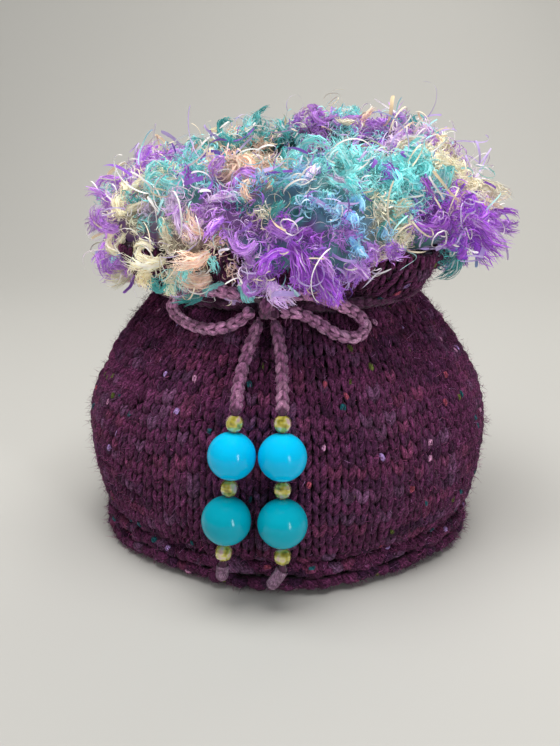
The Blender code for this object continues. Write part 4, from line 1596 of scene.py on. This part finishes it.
# %% Strands that curl
def curling(start, go, length, turning, points, wander, fall=0.0):
    """Paths that set out one way and turn steadily, and their flat side at each point."""
    count = len(start)
    step = np.broadcast_to(length, (count,))[:, None] / (points - 1)
    angle = np.broadcast_to(turning, (count,))[:, None] * step
    axis = np.cross(go, rng.normal(0, 1, (count, 3)))
    way, path, facing = go, [start], []
    for _ in range(points - 1):
        axis = unit(axis) + rng.normal(0, wander, (count, 3)) / math.sqrt(points)
        axis = unit(axis - way * np.sum(axis * way, axis=1, keepdims=True))
        facing.append(np.cross(axis, way))
        way = way * np.cos(angle) + np.cross(axis, way) * np.sin(angle)
        way = unit(way + np.array([0, 0, -1.0]) * fall * step)
        path.append(path[-1] + way * step)
    facing.append(np.cross(axis, way))
    return np.stack(path, axis=1), np.stack(facing, axis=1)


def in_reach(path):
    """Draws the points of a path in to the ruffle's room, without a hard edge."""
    middle = np.array([FRILL_SHIFT, 0, 0])
    flat = (path - middle) * np.array([1, 1, 0])
    distance = np.linalg.norm(flat, axis=-1, keepdims=True)
    allowed = FRILL_REACH + FRILL_REACH_RIGHT * (path[..., :1] > 40)
    over = np.maximum(distance - allowed, 0)
    drawn = distance - over + 4 * np.tanh(over / 6)
    drawn = np.maximum(drawn, FRILL_HOLE)
    path = middle + flat / np.maximum(distance, 1e-6) * drawn + path * np.array([0, 0, 1])
    high = np.maximum(path[..., 2] - FRILL_TOP, 0)
    path[..., 2] = path[..., 2] - high + 6 * np.tanh(high / 8)
    angle = np.arctan2(path[..., 0], -path[..., 1])
    foot = FRILL_FOOT + FRILL_FOOT_LIFTED * np.exp(-((degrees_from(angle, LIFTED) / 23) ** 4))
    under = np.maximum(foot - path[..., 2], 0)
    path[..., 2] = path[..., 2] + under - 3 * np.tanh(under / 10)
    return path


def dye(angle, around, stray=0.2):
    """The names of the colours at places on the ruffle, with some astray."""
    count = len(angle)
    near = patch_of(angle + rng.normal(0, 0.05, count), around + rng.normal(0, 0.16, count))
    near = np.where(rng.random(count) < stray, rng.integers(0, len(PATCHES), count), near)
    return np.array([PATCHES[p].colour for p in near])


def mixed(names, loose, pale):
    """Colours for strands by name, each a little lighter or darker, and a few pale."""
    count = len(names)
    colour = np.array([FRILL[name] for name in names]) * rng.uniform(1 - loose, 1 + loose, (count, 1))
    share = (rng.random((count, 1)) < pale) * rng.uniform(0.2, 0.7, (count, 1))
    return np.clip(colour * (1 - share) + np.array([0.88, 0.84, 0.88]) * share, 0, 1)


# %% Seats of the locks and the fluff
def spread_seats(round_count, over_count, lift):
    """An uneven grid of places over the ring, so that none is left bare."""
    column, row = np.meshgrid(np.arange(round_count), np.arange(over_count))
    column = column.ravel() + rng.uniform(-0.5, 0.5, column.size)
    row = row.ravel() + rng.uniform(-0.5, 0.5, row.size)
    angle = 2 * math.pi * column / round_count
    lowest = -85 + 62 * np.exp(-((degrees_from(angle, LIFTED) / 21) ** 4))
    around = np.radians(lowest + (155 - lowest) * (row + 0.5) / over_count)
    seat, normal = on_frill(angle, around)
    return angle, around, seat + normal * rng.normal(*lift, (len(seat), 1)), normal


# %% Fluff: a ground of fine curled fibre
def fluff():
    """Balls of short curled fibres on an even spread of seats, with painted shade deep in each ball."""
    angle, around, seat, normal = spread_seats(50, 13, (-1.5, 1.7))
    count, each = len(seat), 34
    names = dye(angle, around, 0.08)
    size = rng.uniform(2.6, 4.6, count)
    b = np.repeat(np.arange(count), each)
    n = len(b)
    ball = unit(rng.normal(0, 1, (n, 3)) + normal[b] * 0.7)
    reach = rng.uniform(0.3, 1.15, (n, 1))
    start = seat[b] + ball * reach * size[b][:, None]
    go = unit(np.cross(ball, rng.normal(0, 1, (n, 3))))
    turning = rng.uniform(0.35, 0.9, n)
    path, facing = curling(start, go, rng.uniform(4, 9, n), turning, 12, 0.9)
    facing = facing + rng.normal(0, 0.4, (n, 1, 3))
    half = rng.choice([0.11, 0.18, 0.3], n, p=[0.4, 0.4, 0.2])
    # Painted shade: fibres deep in a ball are darkened, those on its outer side lightened.
    outer = np.sum(ball * normal[b], axis=1, keepdims=True) * reach
    shade = np.clip(0.72 + 0.45 * outer, 0.3, 1.2)
    return path, facing, half, mixed(names[b], 0.25, 0.16) * shade, names[b]


# %% Locks: bundles of fibre that lie together and curl
LOCK_POINTS = 12


def bundles(start, go, length, turning, thick, fray, names, fibres, fall):
    """The fibres of locks, each laid beside its lock's own curling middle line."""
    middle, facing = curling(start, go, length, turning, LOCK_POINTS, 0.5, fall)
    tangent = unit(np.gradient(middle, axis=1))
    out = unit(facing - tangent * np.sum(facing * tangent, axis=2, keepdims=True))
    across = np.cross(tangent, out)
    b = np.repeat(np.arange(len(start)), fibres)
    n = len(b)
    t = np.linspace(0, 1, LOCK_POINTS)[None] * rng.uniform(0.6, 1.0, (n, 1))
    at = t * (LOCK_POINTS - 1)
    low = np.clip(at.astype(int), 0, LOCK_POINTS - 2)
    share = (at - low)[..., None]

    def along(parts):
        return parts[b[:, None], low] * (1 - share) + parts[b[:, None], low + 1] * share

    turn = rng.uniform(0, 2 * math.pi, (n, 1)) + rng.normal(0, 0.8, (n, 1)) * t
    spread = thick[b][:, None] * rng.uniform(0.3, 1.0, (n, 1)) ** 0.6
    spread = spread * (0.5 + 0.6 * np.sin(math.pi * t) + fray[b][:, None] * t**3)
    away = along(out) * np.cos(turn)[..., None] + along(across) * np.sin(turn)[..., None]
    wave = np.sin(t * rng.uniform(6, 15, (n, 1)) + rng.uniform(0, 6, (n, 1)))[..., None]
    path = along(middle) + away * spread[..., None] + wave * rng.normal(0, 0.55, (n, 1, 3))
    half = rng.choice([0.12, 0.2, 0.34], n, p=[0.4, 0.4, 0.2])
    tone = rng.uniform(0.75, 1.2, len(start))[b][:, None]
    return path, away + rng.normal(0, 0.2, (n, 1, 3)), half, mixed(names[b], 0.28, 0.18) * tone, names[b]


def locks():
    """Locks that leave the ring every way and curl."""
    angle, around, seat, normal = spread_seats(38, 11, (0.2, 1.6))
    count = len(seat)
    across = along_ring(angle)
    upward = np.cross(across, normal)
    turn = rng.uniform(0, 2 * math.pi, count)[:, None]
    go = across * np.cos(turn) + upward * np.sin(turn) + normal * rng.uniform(0.1, 0.9, (count, 1))
    names = dye(angle, around, 0.12)
    length, bend = rng.uniform(9, 19, count), rng.uniform(0.06, 0.42, count)
    thick, fray = rng.uniform(0.7, 2.1, count), rng.uniform(0.2, 1.5, count)
    return bundles(seat, unit(go), length, bend, thick, fray, names, 34, 0.02)


# %% Combed tufts that hang over the edge
Comb = namedtuple("Comb", "degrees around length sideways colour")
COMBS = [
    Comb(-8, 10, 16, 0.5, "purple"), Comb(-2, -8, 17, 0.4, "vivid"), Comb(4, -26, 15, 0.3, "vivid"),
    Comb(9, -44, 11, 0.1, "vivid"),
    Comb(58, 8, 18, 0.5, "vivid"), Comb(66, -14, 17, 0.4, "vivid"), Comb(74, -30, 15, 0.2, "vivid"),
    Comb(78, 0, 18, 0.4, "purple"), Comb(66, 20, 16, 0.6, "purple"), Comb(70, -50, 15, 0.4, "teal"),
    Comb(-26, -20, 14, -0.1, "peach"), Comb(-28, -45, 13, 0.0, "peach"), Comb(-44, -30, 14, -0.3, "cream"),
    Comb(-52, -45, 13, -0.3, "cream"), Comb(-70, -20, 14, -0.4, "purple"),
    Comb(-78, 10, 13, -0.5, "lilac"),
    Comb(-62, -5, 14, -0.5, "purple"), Comb(-18, -62, 14, 0.2, "turquoise"),
    Comb(-34, -66, 12, -0.1, "teal"),
    Comb(-8, -62, 12, 0.1, "lilac"), Comb(-62, -50, 13, -0.2, "cream"), Comb(-74, -48, 13, -0.3, "purple"),
    Comb(-84, -40, 13, -0.2, "cream"), Comb(-94, -28, 13, -0.4, "lilac"),
    Comb(-46, -58, 12, -0.1, "cream"),
    Comb(-90, -5, 14, -0.5, "purple"), Comb(-80, -58, 12, -0.1, "peach"),
    Comb(-100, -50, 12, 0.0, "purple"),
    Comb(76, 40, 16, 0.5, "cream"), Comb(70, 60, 14, 0.5, "cream"),
    Comb(26, -20, 10, 0.1, "purple"), Comb(150, 70, 15, 0.2, "turquoise"),
]
COMB_FIBRES = 85


def combed():
    """The tufts of the table, and forty more round the sides and the back."""
    table = list(COMBS)
    for _ in range(40):
        degrees, lower = rng.uniform(88, 285), rng.uniform(-60, 40)
        colour = dye(np.radians([degrees]), np.radians([lower]))[0]
        table.append(Comb(degrees, lower, rng.uniform(12, 19), rng.uniform(-0.5, 0.5), colour))
    angle = np.radians([comb.degrees for comb in table])
    around = np.radians([comb.around for comb in table])
    seat, normal = on_frill(angle, around)
    sideways = np.array([comb.sideways for comb in table])[:, None]
    way = unit(normal * 0.7 + along_ring(angle) * sideways * 1.3 + np.array([0, 0, -0.45]))
    count = len(table)
    names = np.array([comb.colour for comb in table])
    length = np.array([comb.length for comb in table], float)
    combed_out = names == "vivid"
    thick, fray = rng.uniform(1.9, 2.9, count), rng.uniform(0.8, 1.6, count)
    fray = np.where(combed_out, fray, fray * 1.5)
    bend = np.where(combed_out, rng.uniform(0.0, 0.06, count), rng.uniform(0.08, 0.24, count))
    return bundles(seat, way, length, bend, thick, fray, names, COMB_FIBRES, 0.04)


# %% Lay the fluff and the tufts
soft = [np.concatenate(parts) for parts in zip(fluff(), locks(), combed())]
paths, facings, halves, colours, names = soft
paths = in_reach(paths)
FAMILIES = {
    "purple": ("purple",), "violet": ("vivid", "lilac"), "turquoise": ("turquoise", "teal", "blue"),
    "cream": ("cream", "peach"),
}
frill_pieces = []
for family, members in FAMILIES.items():
    these = np.isin(names, members)
    batch = lay(FIBRE, paths[these], facings[these], halves[these], halves[these], colours[these])
    frill_pieces.append(gather(f"ruffle_{family}", [batch], fancy_yarn))

# %% [markdown]
# Inside the ruffle lies a lumpy ring, a little below the roots of the locks.
# It has the colours of the dye, darkened, and is darkest on its inner side, so
# that it reads as shade between the locks.

# %% The ruffle's core
columns, sides = 120, 20
RING_DEPTH, RING_FOOT = 3.5, 108
INNER_SHADE, OUTER_SHADE = 0.12, 0.30
core_angle, core_around = np.meshgrid(
    np.linspace(0, 2 * math.pi, columns, endpoint=False),
    np.linspace(0, 2 * math.pi, sides, endpoint=False), indexing="ij",
)
core_point, core_normal = on_frill(core_angle, core_around)
lumps = rng.normal(0, 0.8, core_angle.shape)[..., None]
core_point = core_point - core_normal * RING_DEPTH + core_normal * lumps
core_point[..., 2] = np.maximum(core_point[..., 2], RING_FOOT)
index = np.arange(columns * sides).reshape(columns, sides)
nxt, aft = np.roll(index, -1, axis=0), np.roll(index, -1, axis=1)
core_quads = np.stack([index, nxt, np.roll(nxt, -1, axis=1), aft], axis=-1).reshape(-1, 4)
flat_point = core_point.reshape(-1, 3)
patch = patch_of(core_angle.ravel(), core_around.ravel())
shaded = np.where(np.cos(core_around.ravel()) < -0.2, INNER_SHADE, OUTER_SHADE)
core_tone = np.array([FRILL[PATCHES[p].colour] for p in patch]) * shaded[:, None]
core_uv = np.zeros((core_quads.size, 2))
core_uv[:, 0] = flat_point[core_quads.ravel(), 2]
core_uv[:, 1] = core_angle.ravel()[core_quads.ravel()]
frill_core = mesh_piece("ruffle_core", flat_point * MM, core_quads, core_uv, core_tone)
dress(frill_core, fancy_yarn)
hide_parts("ruffle")

# %% Shiny threads and ribbons
THREADS = [
    Tweed((0.90, 0.86, 0.84), 0.5), Tweed((0.66, 0.54, 0.86), 0.2), Tweed((0.92, 0.80, 0.60), 0.18),
    Tweed((0.50, 0.84, 0.82), 0.12),
]
RIBBONS = [
    Tweed((0.60, 0.46, 0.86), 0.30), Tweed((0.86, 0.82, 0.88), 0.18), Tweed((0.30, 0.12, 0.60), 0.27),
    Tweed((0.42, 0.78, 0.78), 0.12), Tweed((0.95, 0.74, 0.48), 0.13),
]


def loose_strands(count, length, turning, lift, fall):
    """Single strands that leave the ruffle and arch, loop or hang."""
    angle = rng.uniform(0, 2 * math.pi, count)
    around = rng.uniform(math.radians(-75), math.radians(140), count)
    seat, normal = on_frill(angle, around)
    start = seat + normal * rng.uniform(*lift, (count, 1))
    across = along_ring(angle)
    flat = across * rng.choice([-1, 1], (count, 1)) + np.array([0, 0, 1]) * rng.normal(0, 0.5, (count, 1))
    go = unit(normal * rng.choice([0.1, 0.4, 1.2], (count, 1), p=[0.55, 0.32, 0.13]) + flat)
    bend = rng.uniform(*turning, count)
    path, facing = curling(start, go, rng.uniform(*length, count), bend, 15, 0.5, fall)
    return in_reach(path), facing


def strand_batch(count, length, turning, lift, fall, halves, table):
    """Loose strands of one kind, laid as ribbons in a table's colours."""
    path, facing = loose_strands(count, length, turning, lift, fall)
    half = rng.uniform(*halves, count)
    return lay(RIBBON, path, facing, half, half, choose(table, count))


gather(
    "ruffle_threads",
    [
        strand_batch(300, (12, 32), (0.08, 0.32), (1, 5), 0.01, (0.2, 0.36), THREADS),
        strand_batch(420, (6, 16), (0.15, 0.6), (1, 5), 0.0, (0.17, 0.3), THREADS),
        strand_batch(90, (9, 20), (0.03, 0.25), (1, 5), 0.03, (0.4, 0.9), RIBBONS),
        strand_batch(170, (6, 14), (0.08, 0.5), (1, 5), 0.0, (0.22, 0.5), RIBBONS),
    ],
    satin_thread,
)

# %% Measure and finish
total = sum(len(piece.data.polygons) * 2 for piece in bpy.data.objects
            if piece.type == "MESH" and piece.name != "floor")
print("Triangles, about:", total)
low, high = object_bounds()
